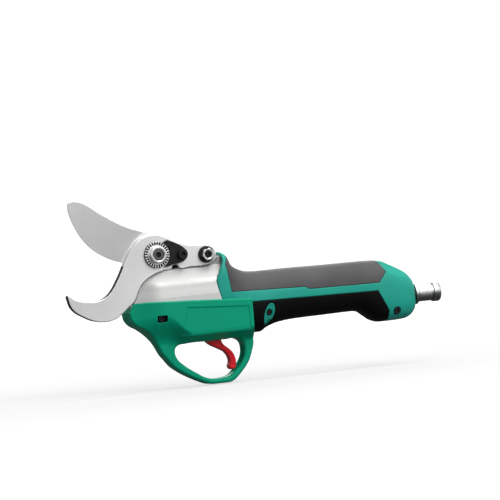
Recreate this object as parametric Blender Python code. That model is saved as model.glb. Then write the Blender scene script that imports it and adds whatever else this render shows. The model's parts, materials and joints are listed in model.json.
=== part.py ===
"""Battery electric pruner: cutting head, ball-screw drive, trigger guard and two-shell handle.

Run with: blender --background --python part.py

Frame: +X towards the cable connector at the rear, +Z up, +Y to the tool's right-hand side.
Origin: the middle of the tool's overall box. Lengths below are in millimetres from the blade's
pivot axis, in the tool's middle plane; CENTRE is the origin's place in them, and each mesh is
moved by it and turned into metres when it is made.
"""

import math

import bpy
from mathutils import Vector
from mathutils.geometry import delaunay_2d_cdt

# ---------------------------------------------------------------- driving dimensions
MM = 0.001
CENTRE = (76.5, 0.0, -27.57)  # middle of the overall box, from the blade's pivot axis
SIDES = (("left", -1), ("right", 1))  # name and sign of y

PIVOT = (0.0, 0.0)       # (x, z) of the blade's pivot axis
BLADE_HALF = 2.0         # half the blade's thickness
HOOK_Y = (-7.3, -2.4)    # outer and inner face of the counter blade
LOCK_BOLT = (19.6, -1.4)  # (x, z) of the lock plate's screw
REAR_BOLT = (39.6, -3.4)  # (x, z) of the head's rear bolt

LEVER = 40.0             # pivot to tail pin
OPEN_DEG = 25.0          # the open blade's tail stands this far forward of vertical
PIN_X = -LEVER * math.sin(math.radians(OPEN_DEG))
PIN_Z = -LEVER * math.cos(math.radians(OPEN_DEG))
TAIL_PIN = (PIN_X, PIN_Z)
SLOT_X = -17.035         # fork slot centre with the blade open

SCREW_Z = -39.6          # height of the motor, gearbox and ball-screw axis
SCREW_R, SCREW_LEAD = 5.0, 5.0
MODULE = 0.7             # gear pitch diameter per tooth
SUN_T, PLANET_T = 9, 12
RING_T = SUN_T + 2 * PLANET_T
ORBIT = (SUN_T + PLANET_T) * MODULE / 2  # radius of the planets' axes

GUARD_HALF = 19.4        # half width of the trigger guard body
GUARD_WALL = 1.5
LOOP_HALF = 6.5          # half width of the finger loop
GUARD_SCREW = (-3.6, -48.0)
TRIGGER_PIVOT = (37.5, -61.5)

CONN_Z = -50.0           # connector axis
REAR_X = 204.0           # rear face of the handle
SEAM = 0.06              # half the gap between a left and a right shell
PAD = 1.4                # depth of the moulded grip skin
SHELL_WALL = 3.0
END_SCREW = (186.0, -60.8)
CUP_CENTRE = (82.8, -52.6)  # middle of the oval cup round the grip screw
GRIP_SCREW = (CUP_CENTRE[0], CUP_CENTRE[1] + 1.0)

# ---------------------------------------------------------------- scene helpers
for old in list(bpy.data.objects):
    bpy.data.objects.remove(old)

# name: (base colour, roughness, metallic)
MATERIALS = {
    "steel": ((0.72, 0.72, 0.73), 0.32, 1.0),
    "satin": ((0.80, 0.80, 0.79), 0.38, 1.0),
    "cast": ((0.74, 0.74, 0.73), 0.42, 0.9),
    "black_metal": ((0.03, 0.03, 0.03), 0.45, 0.7),
    "green": ((0.0, 0.33, 0.19), 0.40, 0.0),
    "teal": ((0.03, 0.38, 0.29), 0.42, 0.0),
    "grey_rubber": ((0.11, 0.11, 0.115), 0.75, 0.0),
    "black_rubber": ((0.008, 0.008, 0.008), 0.8, 0.0),
    "red": ((0.65, 0.02, 0.02), 0.35, 0.0),
    "brass": ((0.75, 0.55, 0.25), 0.35, 1.0),
    "board": ((0.02, 0.16, 0.07), 0.55, 0.0),
    "copper": ((0.72, 0.35, 0.2), 0.4, 1.0),
    "black_plastic": ((0.02, 0.02, 0.02), 0.55, 0.0),
}


def material(name):
    if name in bpy.data.materials:
        return bpy.data.materials[name]
    colour, roughness, metallic = MATERIALS[name]
    made = bpy.data.materials.new(name)
    made.use_nodes = True
    inputs = made.node_tree.nodes["Principled BSDF"].inputs
    inputs["Base Color"].default_value = (*colour, 1)
    inputs["Roughness"].default_value = roughness
    inputs["Metallic"].default_value = metallic
    return made


PARENTS = {}  # joint name: (its empty, its place in millimetres)


def axis_empty(name, x, y, z):
    empty = bpy.data.objects.new(name, None)
    empty.location = tuple((v - c) * MM for v, c in zip((x, y, z), CENTRE))
    bpy.context.scene.collection.objects.link(empty)
    PARENTS[name] = (empty, (x, y, z))


def add(name, shape, mat, parent=None, smooth=35, cutter=False):
    """An object from (points, faces) in millimetres, with its origin on its parent's axis."""
    verts, faces = shape
    ox, oy, oz = PARENTS[parent][1] if parent else CENTRE
    mesh = bpy.data.meshes.new(name)
    points = [((x - ox) * MM, (y - oy) * MM, (z - oz) * MM) for x, y, z in verts]
    mesh.from_pydata(points, [], faces)
    mesh.validate()
    mesh.update()
    obj = bpy.data.objects.new(name, mesh)
    bpy.context.scene.collection.objects.link(obj)
    if parent:
        obj.parent = PARENTS[parent][0]
    mesh.materials.append(material(mat))
    mesh.shade_smooth()
    mesh.set_sharp_from_angle(angle=math.radians(smooth))
    if cutter:
        obj.hide_render = True
        obj.display_type = "WIRE"
    return obj


def boolean(obj, *cutters, operation="DIFFERENCE"):
    for cutter in cutters:
        modifier = obj.modifiers.new(cutter.name, "BOOLEAN")
        modifier.operation = operation
        modifier.object = cutter
        modifier.solver = "EXACT"


# ---------------------------------------------------------------- outlines
def pairs(items):
    """Each item with the one after it, going round."""
    return zip(items, items[1:] + items[:1])


def spline(points, step, closed=True):
    """A smooth curve through (x, z) points. A point with a third value is a corner."""
    count = len(points)
    places = [(p[0], p[1]) for p in points]
    corner = [len(p) > 2 for p in points]
    out = []

    def distance(a, b):
        return max(math.dist(a, b), 1e-6)

    def tangent(i, span):
        end = not closed and i in (0, count - 1)
        if corner[i] or end:
            return None
        before, here, after = places[(i - 1) % count], places[i], places[(i + 1) % count]
        d0, d1 = distance(before, here), distance(here, after)
        return tuple(
            ((here[k] - before[k]) / d0 * d1 + (after[k] - here[k]) / d1 * d0) / (d0 + d1) * span
            for k in (0, 1)
        )

    for i in range(count if closed else count - 1):
        j = (i + 1) % count
        a, b = places[i], places[j]
        span = distance(a, b)
        leave, arrive = tangent(i, span), tangent(j, span)
        chord = (b[0] - a[0], b[1] - a[1])
        if leave is None and arrive is None:
            leave = arrive = chord
        elif leave is None:
            leave = tuple(1.5 * chord[k] - 0.5 * arrive[k] for k in (0, 1))
        elif arrive is None:
            arrive = tuple(1.5 * chord[k] - 0.5 * leave[k] for k in (0, 1))
        straight = corner[i] and corner[j]
        steps = 1 if straight else max(1, round(span / step))
        for s in range(steps):
            t = s / steps
            h00, h10 = 2 * t**3 - 3 * t**2 + 1, t**3 - 2 * t**2 + t
            h01, h11 = -2 * t**3 + 3 * t**2, t**3 - t**2
            out.append(tuple(
                h00 * a[k] + h10 * leave[k] + h01 * b[k] + h11 * arrive[k] for k in (0, 1)
            ))
    if not closed:
        out.append(places[-1])
    return out


def circle(cx, cz, radius, sides=24, start=0.0):
    angles = [start + 2 * math.pi * k / sides for k in range(sides)]
    return [(cx + radius * math.cos(a), cz + radius * math.sin(a)) for a in angles]


def polar(radius, degrees):
    return (radius * math.cos(math.radians(degrees)), radius * math.sin(math.radians(degrees)))


def area(loop):
    return 0.5 * sum(a[0] * b[1] - b[0] * a[1] for a, b in pairs(loop))


def anticlockwise(loop):
    return loop if area(loop) > 0 else loop[::-1]


def inset(loop, distance):
    """The loop moved a distance towards its left-hand side."""
    out = []
    for i, here in enumerate(loop):
        before, after = loop[i - 1], loop[(i + 1) % len(loop)]
        ax, az = here[0] - before[0], here[1] - before[1]
        bx, bz = after[0] - here[0], after[1] - here[1]
        a_len, b_len = math.hypot(ax, az) or 1, math.hypot(bx, bz) or 1
        nx, nz = -(az / a_len + bz / b_len), ax / a_len + bx / b_len
        size = math.hypot(nx, nz) or 1
        cos_half = max(0.5, size / 2)
        out.append((here[0] + nx / size * distance / cos_half,
                    here[1] + nz / size * distance / cos_half))
    return out


def inside(point, loop):
    x, z = point
    hit = False
    for (x1, z1), (x2, z2) in pairs(loop):
        if (z1 > z) != (z2 > z) and x < (x2 - x1) * (z - z1) / (z2 - z1) + x1:
            hit = not hit
    return hit


def in_region(point, loops):
    return inside(point, loops[0]) and not any(inside(point, hole) for hole in loops[1:])


def segment_distance(point, start, end):
    (x, z), (x1, z1), (x2, z2) = point, start, end
    dx, dz = x2 - x1, z2 - z1
    t = max(0.0, min(1.0, ((x - x1) * dx + (z - z1) * dz) / (dx * dx + dz * dz or 1)))
    return math.hypot(x - x1 - t * dx, z - z1 - t * dz)


def edge_distance(point, loops):
    return min(segment_distance(point, a, b) for loop in loops for a, b in pairs(loop))


# ---------------------------------------------------------------- solids, as (points, faces)
def facing_out(shape):
    """The mesh with its faces turned outwards, whatever way round it was drawn."""
    verts, faces = shape
    total = 0.0
    for face in faces:
        a = verts[face[0]]
        for i, j in zip(face[1:], face[2:]):
            b, c = verts[i], verts[j]
            total += (a[0] * (b[1] * c[2] - b[2] * c[1]) - a[1] * (b[0] * c[2] - b[2] * c[0])
                      + a[2] * (b[0] * c[1] - b[1] * c[0]))
    return (verts, faces) if total > 0 else (verts, [tuple(f[::-1]) for f in faces])


def on_side(shape, sign):
    """A mesh drawn on the left, or its mirror image on the right if sign is positive."""
    verts, faces = shape
    if sign > 0:
        verts = [(x, -y, z) for x, y, z in verts]
    return facing_out((verts, faces))


def sheet(rows, flip=False):
    """Quads over open rows of vertex numbers."""
    faces = [f for a, b in zip(rows, rows[1:]) for f in zip(a, a[1:], b[1:], b)]
    return [f[::-1] for f in faces] if flip else faces


def join_rings(first, second):
    """Faces between two closed rings of vertex numbers; a ring of one is a point."""
    if len(first) == 1 and len(second) == 1:
        return []
    if len(first) == 1:
        return [(first[0], after, here) for here, after in pairs(second)]
    if len(second) == 1:
        return [(here, after, second[0]) for here, after in pairs(first)]
    return [(a, a2, b2, b) for (a, a2), (b, b2) in zip(pairs(first), pairs(second))]


def number_rows(count, size):
    """Vertex numbers of count rows, size to a row."""
    return [list(range(k * size, (k + 1) * size)) for k in range(count)]


def plate(loops, near, far, chamfer=0.0, grid=0.0, far_chamfer=None):
    """A solid from y = near(x, z) to y = far(x, z), inside loops[0] and outside the others.

    Its rims are eased by chamfer. grid adds inner points, so near and far can be curved."""
    near_at = near if callable(near) else (lambda x, z: near)
    far_at = far if callable(far) else (lambda x, z: far)
    far_chamfer = chamfer if far_chamfer is None else far_chamfer
    loops = [anticlockwise(loops[0])] + [anticlockwise(hole)[::-1] for hole in loops[1:]]
    rim = max(chamfer, far_chamfer)
    points, edges = [], []
    for loop in loops + ([inset(loop, rim) for loop in loops] if rim else []):
        base = len(points)
        points.extend(loop)
        edges.extend((base + i, base + (i + 1) % len(loop)) for i in range(len(loop)))
    if grid:
        xs, zs = [p[0] for p in loops[0]], [p[1] for p in loops[0]]
        for i in range(int((max(xs) - min(xs)) / grid) + 1):
            for k in range(int((max(zs) - min(zs)) / grid) + 1):
                p = (min(xs) + (i + 0.5) * grid, min(zs) + (k + 0.5) * grid)
                if in_region(p, loops) and edge_distance(p, loops) > rim + 0.35 * grid:
                    points.append(p)
    result = delaunay_2d_cdt(points, edges, [], 0, 1e-5)
    flat, triangles = [tuple(v) for v in result[0]], []
    for face in result[2]:
        middle = (sum(flat[i][0] for i in face) / 3, sum(flat[i][1] for i in face) / 3)
        if in_region(middle, loops):
            face = tuple(face)
            triangles.append(face if area([flat[i] for i in face]) > 0 else face[::-1])
    used = sorted({i for tri in triangles for i in tri})
    renumbered = {old: new for new, old in enumerate(used)}
    flat = [flat[i] for i in used]
    triangles = [tuple(renumbered[i] for i in tri) for tri in triangles]
    count = len(flat)
    depth = [edge_distance(p, loops) if rim else 1e9 for p in flat]
    verts = [(x, near_at(x, z) + max(0.0, chamfer - d), z) for (x, z), d in zip(flat, depth)]
    verts += [(x, far_at(x, z) - max(0.0, far_chamfer - d), z) for (x, z), d in zip(flat, depth)]
    faces = triangles + [tuple(i + count for i in tri[::-1]) for tri in triangles]
    directed = [edge for tri in triangles for edge in pairs(tri)]
    present = set(directed)
    faces += [(b, a, a + count, b + count) for a, b in directed if (b, a) not in present]
    return verts, faces


def turned(name, profile, mat, sides=24, centre=(0.0, SCREW_Z), axis="x", **options):
    """A turned solid from a closed loop of (along, radius).

    Its axis runs along x through centre (y, z), or along y through centre (x, z)."""
    verts, faces, rings = [], [], []
    for along, radius in profile:
        corners = 1 if radius < 1e-6 else sides
        rings.append(list(range(len(verts), len(verts) + corners)))
        for k in range(corners):
            u = radius * math.cos(2 * math.pi * k / sides) if corners > 1 else 0.0
            v = radius * math.sin(2 * math.pi * k / sides) if corners > 1 else 0.0
            if axis == "x":
                verts.append((along, u + centre[0], v + centre[1]))
            else:
                verts.append((centre[0] + v, along, u + centre[1]))
    for first, second in pairs(rings):
        faces += join_rings(first, second)
    return add(name, facing_out((verts, faces)), mat, **options)


def turned_across(name, profile, mat, sides, centre, **options):
    return turned(name, profile, mat, sides, centre, axis="y", **options)


def drill(start, end, radius):
    """Profile of a plain cylinder."""
    return [(start, 0.0), (start, radius), (end, radius), (end, 0.0)]


def rod(start, end, radius, bore=0.0, ease=0.0):
    """Profile of a straight rod or tube, with its outer rims eased."""
    outer = [(start, radius), (end, radius)]
    if ease:
        outer = [(start, radius - ease), (start + ease, radius),
                 (end - ease, radius), (end, radius - ease)]
    return outer + [(end, bore), (start, bore)]


def box(x0, x1, y0, y1, z0, z1):
    verts = [(x, y, z) for x in (x0, x1) for y in (y0, y1) for z in (z0, z1)]
    faces = [(0, 1, 3, 2), (4, 6, 7, 5), (0, 4, 5, 1), (2, 3, 7, 6), (0, 2, 6, 4), (1, 5, 7, 3)]
    return facing_out((verts, faces))


def prism_x(loop, x0, x1):
    """A (y, z) loop drawn out along x."""
    verts = [(x, y, z) for x in (x0, x1) for y, z in loop]
    start, end = number_rows(2, len(loop))
    return facing_out((verts, [tuple(start[::-1]), tuple(end)] + join_rings(start, end)))


def wire(path, radius, sides, start_direction):
    """A round wire along a path; start_direction(point, tangent) points to each ring's start."""
    points, verts = [Vector(p) for p in path], []
    for i, point in enumerate(points):
        ahead, behind = points[min(i + 1, len(points) - 1)], points[max(i - 1, 0)]
        tangent = (ahead - behind).normalized()
        first = start_direction(point, tangent).normalized()
        second = tangent.cross(first).normalized()
        for k in range(sides):
            a = 2 * math.pi * k / sides
            verts.append(tuple(point + radius * (math.cos(a) * first + math.sin(a) * second)))
    rings = number_rows(len(points), sides)
    faces = [f for a, b in zip(rings, rings[1:]) for f in join_rings(a, b)]
    faces += [tuple(rings[0][::-1]), tuple(rings[-1])]
    return facing_out((verts, faces))


def smooth01(t):
    t = max(0.0, min(1.0, t))
    return t * t * (3 - 2 * t)


def between(x, table):
    """Straight-line reading of a table of (x, value)."""
    if x <= table[0][0]:
        return table[0][1]
    for (x0, v0), (x1, v1) in zip(table, table[1:]):
        if x <= x1:
            return v0 + (v1 - v0) * (x - x0) / (x1 - x0)
    return table[-1][1]


# ---------------------------------------------------------------- joint axes
axis_empty("blade_axis", *PIVOT[:1], 0, PIVOT[1])
axis_empty("fork_slide", SLOT_X, 0, SCREW_Z)
axis_empty("screw_axis", 60, 0, SCREW_Z)
axis_empty("motor_axis", 130, 0, SCREW_Z)
axis_empty("trigger_axis", TRIGGER_PIVOT[0], 0, TRIGGER_PIVOT[1])

# ---------------------------------------------------------------- cutting blade
# Outlines from here on are (x, z) points; a third value "c" marks a corner.
EDGE = [  # the cutting edge, heel to tip
    (-16.0, -6.6), (-26.3, -3.1), (-31.9, -1.2), (-37.4, 1.4), (-43.5, 5.0), (-48.9, 9.3),
    (-53.4, 14.1), (-57.8, 20.6), (-61.3, 27.7), (-63.8, 34.8), (-64.6, 41.5),
]
BLADE = [
    (-15.0, -7.6, "c"), *EDGE[1:10],
    # tip and back
    (-64.7, 40.5), (-63.9, 44.6), (-61.3, 45.9), (-57.6, 45.5), (-53.7, 44.1), (-48.2, 41.0),
    (-43.6, 37.4), (-38.2, 33.6), (-32.8, 30.1), (-26.7, 26.4), (-19.8, 22.7), (-12.8, 19.9),
    # hub
    (-5.0, 17.3), (4.0, 15.8), (11.5, 11.4), (15.6, 3.5), (13.8, -6.0), (7.0, -12.5),
    # tail, round the pin
    (0.5, -17.5), (-6.2, -26.5), (PIN_X + 5.4, PIN_Z - 2.5), (PIN_X + 3.0, PIN_Z - 5.6),
    (PIN_X - 2.5, PIN_Z - 5.9), (PIN_X - 6.0, PIN_Z - 1.5), (PIN_X - 5.9, PIN_Z + 3.0),
    (-17.3, -22.5), (-14.5, -14.0),
]
BEVEL_EDGE, BEVEL_SLOPE = 0.55, 0.30   # blade thickness at the edge, and its growth inwards
HUB_R, HUB_FADE = 19.0, 6.0            # the bevel fades out over this band round the hub
BUSH_R = 6.0
edge_line = spline(EDGE, 3.0, closed=False)


def blade_far(x, z):
    """The side away from the counter blade, with its ground bevel."""
    from_edge = min(segment_distance((x, z), a, b) for a, b in zip(edge_line, edge_line[1:]))
    bevel = -BLADE_HALF + BEVEL_EDGE + BEVEL_SLOPE * from_edge
    strength = smooth01((math.hypot(x, z) - HUB_R) / HUB_FADE) if z > -9 else 0.0
    return BLADE_HALF + min(0.0, bevel - BLADE_HALF) * strength


blade_loops = [spline(BLADE, 4.5), circle(*PIVOT, BUSH_R + 0.2, 20), circle(*TAIL_PIN, 2.65, 14)]
add("cutting_blade", plate(blade_loops, -BLADE_HALF, blade_far, chamfer=0.25, grid=7.5),
    "steel", "blade_axis")

# ---------------------------------------------------------------- counter blade (hook)
HOOK = [
    # tip and underside of the hook
    (-74.6, -23.6), (-74.3, -28.8), (-71.9, -33.7), (-68.3, -36.8), (-61.5, -40.9),
    (-55.4, -44.0), (-49.0, -45.7), (-41.8, -45.9), (-35.8, -44.3), (-30.3, -40.8),
    # lower edge of the body, to the rear
    (-25.5, -36.9), (-20.3, -33.0), (-17.2, -27.2), (-12.7, -20.2), (-7.2, -16.4),
    (-0.4, -13.6), (5.6, -12.1), (11.5, -11.3), (12.6, -9.3), (16.2, -9.3), (17.0, -11.0),
    (27.0, -11.5), (37.6, -11.6), (42.4, -10.6), (46.6, -7.4), (47.9, -3.2),
    # upper edge, back to the front
    (46.0, 1.3), (40.8, 3.9), (32.0, 4.3), (25.2, 5.3), (16.0, 8.8), (9.5, 12.2),
    (4.0, 14.6), (-1.5, 15.4), (-7.4, 14.6), (-14.2, 11.1), (-20.1, 5.0), (-24.4, -1.5),
    # hollow of the hook
    (-27.3, -6.5), (-30.0, -11.5), (-33.4, -17.0), (-36.9, -22.0), (-40.3, -25.6),
    (-44.2, -28.1), (-48.7, -29.6), (-54.5, -30.0), (-61.7, -28.9), (-67.3, -27.3),
    (-72.6, -24.6),
]
hook_outline = spline(HOOK, 4.5)
hook_loops = [hook_outline, circle(*PIVOT, 4.25, 20), circle(*LOCK_BOLT, 2.2, 12),
              circle(*REAR_BOLT, 2.7, 14)]
add("counter_blade", plate(hook_loops, *HOOK_Y, chamfer=0.6, far_chamfer=0.2), "satin")

# ---------------------------------------------------------------- head bolts and lock plate
# Profiles are (along y, radius). Each bolt runs from its point to its socketed head.
PIVOT_BOLT = [
    (-12.4, 0.0), (-12.4, 3.3), (-11.9, 3.9), (9.1, 3.9), (9.1, 8.0), (12.6, 8.0),
    (13.4, 7.2), (13.4, 3.4), (11.2, 3.4), (11.2, 0.0),
]
LOCK_SCREW = [
    (4.5, 0.0), (4.5, 1.6), (4.0, 2.0), (-9.6, 2.0), (-9.6, 3.7), (-12.3, 3.7),
    (-12.8, 3.2), (-12.8, 1.9), (-11.0, 1.9), (-11.0, 0.0),
]
REAR_BOLT_PROFILE = [
    (-12.9, 0.0), (-12.9, 2.1), (-12.5, 2.45), (8.9, 2.45), (8.9, 4.3), (12.0, 4.3),
    (12.6, 3.7), (12.6, 2.0), (10.8, 2.0), (10.8, 0.0),
]
NUT_Y = (-9.3, -7.5)     # outer and inner face of the nut's toothed flange and the lock plate
NUT_BORE = 4.1
FLANGE_TEETH = 30
# (angle from the tooth's middle in radians, radius)
FLANGE_TOOTH = ((-0.06, 9.9), (0.06, 9.9), (0.085, 9.1), (0.125, 9.1))
LOCK_REST = [            # lock plate outline after the arc round the nut
    (9.2, 10.4), (14.5, 8.0), (21.5, 3.7), (24.2, 0.6), (24.3, -3.0), (21.8, -6.0),
    (17.0, -7.8), (11.5, -8.6), (8.2, -9.6),
]

turned_across("pivot_bolt", PIVOT_BOLT, "black_metal", 20, PIVOT)
turned_across("pivot_bush", rod(-BLADE_HALF, BLADE_HALF, BUSH_R, NUT_BORE), "brass", 20, PIVOT)

flange = []
for k in range(FLANGE_TEETH):
    angle = 2 * math.pi * k / FLANGE_TEETH
    flange += [(r * math.cos(angle + da), r * math.sin(angle + da)) for da, r in FLANGE_TOOTH]
nut_hole = circle(*PIVOT, NUT_BORE, 20)
pivot_nut = add("pivot_nut", plate([flange, nut_hole], *NUT_Y), "satin")
collar_loops = [circle(*PIVOT, 7.2, 6, math.pi / 6), nut_hole]
collar = add("cut_pivot_collar", plate(collar_loops, -13.2, -9.0, chamfer=0.6, far_chamfer=0.0),
             "satin", cutter=True)
boolean(pivot_nut, collar, operation="UNION")

lock_outline = [polar(10.6, degrees) for degrees in range(-62, 59, 12)] + LOCK_REST
lock_loops = [lock_outline, circle(*LOCK_BOLT, 2.3, 12)]
add("lock_plate", plate(lock_loops, *NUT_Y, chamfer=0.25, far_chamfer=0.0), "black_metal")
turned_across("lock_plate_screw", LOCK_SCREW, "black_metal", 16, LOCK_BOLT)
turned_across("rear_bolt", REAR_BOLT_PROFILE, "black_metal", 16, REAR_BOLT)
turned_across("rear_bolt_washer", rod(-9.2, -7.5, 6.3, 2.7, 0.3), "black_metal", 20, REAR_BOLT)
rear_nut_loops = [circle(*REAR_BOLT, 4.9, 6, 0.2), circle(*REAR_BOLT, 2.65, 14)]
add("rear_bolt_nut", plate(rear_nut_loops, -13.2, -9.4, chamfer=0.4), "steel")

# ---------------------------------------------------------------- tail pin and rollers
PIN_R, PIN_HALF = 2.5, 7.3
ROLLER_R, ROLLER_BORE = 3.3, 2.65
turned_across("tail_pin", rod(-PIN_HALF, PIN_HALF, PIN_R, ease=0.4), "steel", 14, TAIL_PIN,
              parent="blade_axis")
for side, sign in SIDES:
    roller_span = sorted((sign * 2.7, sign * 6.9))
    turned_across(f"tail_roller_{side}", rod(*roller_span, ROLLER_R, ROLLER_BORE, 0.2), "brass",
                  16, TAIL_PIN, parent="blade_axis")

# ---------------------------------------------------------------- head casting
NARROW_Z = -11.5         # the width above this height is the width at it
HEAD_WIDTH = [           # (z, half width) low to high
    (-37.0, 17.0), (-32.0, 16.9), (-26.0, 16.2), (-21.0, 14.8), (-17.0, 12.8),
    (-14.0, 10.6), (-11.5, 8.6),
]


def guard_half(x, z):
    """Half width of the guard: full at the panel, less at the loop below and the nose."""
    rearward = smooth01(x / 20.0)
    high, low = -46.0 - 14.0 * rearward, -68.5 - 2.5 * rearward
    nose = 0.50 + 0.50 * smooth01((x + 29.0) / 29.5)
    return LOOP_HALF + (GUARD_HALF * nose - LOOP_HALF) * smooth01((z - low) / (high - low))


def head_half(x, z):
    """Half width of the head: narrow under the counter blade, full where the guard starts."""
    top = between(z, HEAD_WIDTH) * (0.62 + 0.38 * smooth01((x + 24.0) / 22.0))
    return min(top, guard_half(x, z) - GUARD_WALL - 0.5)


def cover_near(x, z):
    return -max(head_half(x, min(z, NARROW_Z)), 4.2)


def frame_far(x, z):
    return max(head_half(max(x, -24.0), min(z, NARROW_Z)), 8.6)


HEAD_LOWER = [           # rear end, bottom and nose, shared by both halves of the head
    (52.5, -5.0, "c"), (52.5, -51.5, "c"), (38.0, -53.5, "c"), (-9.0, -53.5, "c"),
    (-18.4, -50.7, "c"), (-22.9, -46.3, "c"), (-24.1, -41.3, "c"),
]
COVER = [
    (-23.9, -36.6, "c"), (-21.4, -34.0, "c"), (-20.0, -32.0), (-17.6, -27.3), (-12.2, -20.2),
    (-6.8, -16.4), (-0.2, -13.6), (5.8, -12.2), (17.0, -11.6), (30.0, -11.7), (38.0, -11.9),
    (43.4, -10.6), (48.0, -6.6), (50.0, -5.0, "c"), *HEAD_LOWER,
]
FRAME = [
    (-24.0, -31.3, "c"), (-22.0, -31.3, "c"), (-17.0, -24.0), (-13.0, -16.8), (-6.0, -13.2),
    (5.0, -11.7), (14.0, -11.7), (30.0, -11.7), (44.0, -11.0), (49.0, -5.0, "c"), *HEAD_LOWER,
]
LUG = [                  # upper arm of the frame, beside the blade
    (-13.6, 1.0), (-10.4, 8.8), (-3.5, 13.2), (4.0, 12.9), (12.0, 9.2), (22.0, 5.0),
    (33.0, 3.6), (41.0, 2.9), (45.6, -0.2), (47.2, -5.0), (46.0, -14.0, "c"),
    (10.0, -20.0, "c"), (-16.0, -24.0, "c"), (-14.6, -10.0),
]
WEB = [                  # fills the blade's plane behind its hub
    (17.6, 6.2), (22.0, 4.6), (33.0, 3.2), (41.0, 2.5), (45.2, -0.4), (46.6, -5.0),
    (46.0, -14.0), (16.5, -14.0), (17.5, -5.0), (18.0, 0.0),
]
FORK_ROOM = [            # hollow for the fork, less its upper front corner
    (-22.7, -44.4), (-17.6, -48.9), (-8.0, -50.9), (12.0, -50.9), (12.0, -29.0),
    (-8.0, -29.0), (-20.0, -31.5),
]
BLADE_ROOM = [           # blade slot, below and behind its arc round the hub
    (-40.0, -8.0), (-40.0, -31.0), (-23.4, -31.0), (-23.4, -44.5), (-18.0, -48.8),
    (-8.0, -51.2), (24.0, -51.2), (24.0, -27.0), (17.0, -16.0),
]


def head_cutter(name, shape):
    return add(name, shape, "cast", cutter=True)


def head_hole(name, span, radius, sides, centre):
    return turned_across(name, drill(*span, radius), "cast", sides, centre, cutter=True)


cut_bore = turned("cut_head_bore", drill(11.0, 60.0, 11.3), "cast", cutter=True)

# left half
cover_shape = plate([spline(COVER, 5.0)], cover_near, -2.5, chamfer=0.7, far_chamfer=0.0, grid=6.5)
cover = add("head_cover", cover_shape, "cast")
cut_left = head_cutter("cut_head_left", plate([[(-22.7, -36.0), *FORK_ROOM]], -7.9, -2.0))
cut_washer = head_hole("cut_rear_washer", (-20.0, -1.0), 7.4, 20, REAR_BOLT)
hook_room = inset(anticlockwise(hook_outline), -0.35)
cut_hook = head_cutter("cut_hook_room", plate([hook_room], -8.2, -1.0))
boolean(cover, cut_hook, cut_left, cut_bore, cut_washer)

# right half, with the arm beside the blade
frame_shape = plate([spline(FRAME, 5.0)], -2.2, frame_far, far_chamfer=0.7, grid=6.5)
frame = add("head_frame", frame_shape, "cast")
lug = head_cutter("cut_lug", plate([spline(LUG, 4.5)], 2.45, 8.6, far_chamfer=0.6))
web = head_cutter("cut_web", plate([WEB], -2.0, 3.2))
blade_sweep = [polar(17.2, degrees) for degrees in range(-38, 200, 14)] + BLADE_ROOM
boolean(frame, lug, web, operation="UNION")
boolean(
    frame,
    head_cutter("cut_blade_slot", plate([blade_sweep], -2.9, 2.35)),
    head_cutter("cut_head_right", plate([[(-22.7, -33.0), *FORK_ROOM]], -2.9, 7.9)),
    cut_bore,
    head_hole("cut_pivot_hole", (-6.0, 20.0), 4.2, 20, PIVOT),
    head_hole("cut_lock_hole", (-6.0, 5.2), 2.3, 16, LOCK_BOLT),
    head_hole("cut_rear_hole", (-6.0, 20.0), 2.75, 16, REAR_BOLT),
)

add("grease_plug", box(12.9, 15.9, -6.9, -3.1, -11.1, -9.6), "black_rubber")

# ---------------------------------------------------------------- drive fork, nut and screw
FORK = [                 # one arm, with the pin's slot open at the top
    (-22.3, -37.2), (-21.6, -35.1), (SLOT_X - 3.6, -34.6), (SLOT_X - 3.6, -40.3),
    (SLOT_X - 3.1, -42.1), (SLOT_X - 1.8, -43.4), (SLOT_X, -43.9), (SLOT_X + 1.8, -43.4),
    (SLOT_X + 3.1, -42.1), (SLOT_X + 3.6, -40.3), (SLOT_X + 3.6, -34.6), (-10.4, -34.2),
    (4.0, -33.5), (22.0, -33.5), (22.0, -45.7), (4.0, -45.7), (-10.4, -46.6), (-20.0, -46.6),
    (-22.3, -43.9),
]
NUT_R, NUT_INNER = 10.6, 5.35
fork = turned("drive_fork", rod(18.0, 23.7, NUT_R, 5.5, 0.4), "steel", parent="fork_slide")
for side, sign in SIDES:
    arm_shape = plate([FORK], *sorted((sign * 2.9, sign * 7.1)))
    arm = add(f"cut_fork_{side}", arm_shape, "steel", "fork_slide", cutter=True)
    boolean(fork, arm, operation="UNION")
boolean(fork, turned("cut_fork_bore", rod(-10.8, 30.0, 5.6), "steel", 20, parent="fork_slide",
                     cutter=True))
BALL_NUT = [
    (24.0, NUT_INNER), (24.0, 10.0), (24.6, NUT_R), (28.0, NUT_R), (28.0, 9.6), (45.6, 9.6),
    (46.0, 9.2), (46.0, NUT_INNER),
]
turned("ball_nut", BALL_NUT, "steel", parent="fork_slide")

SCREW_SIDES = 12
SCREW_FRONT, THREAD_END, SCREW_REAR = 24.4, 80.6, 97.4
JOURNAL_R = 4.0          # plain rear end of the screw
# one pitch of the ball groove: (part of the lead, height over SCREW_R)
GROOVE = ((0.0, 0.0), (0.30, 0.0), (0.42, -0.9), (0.72, -0.9), (0.84, 0.0))


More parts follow.
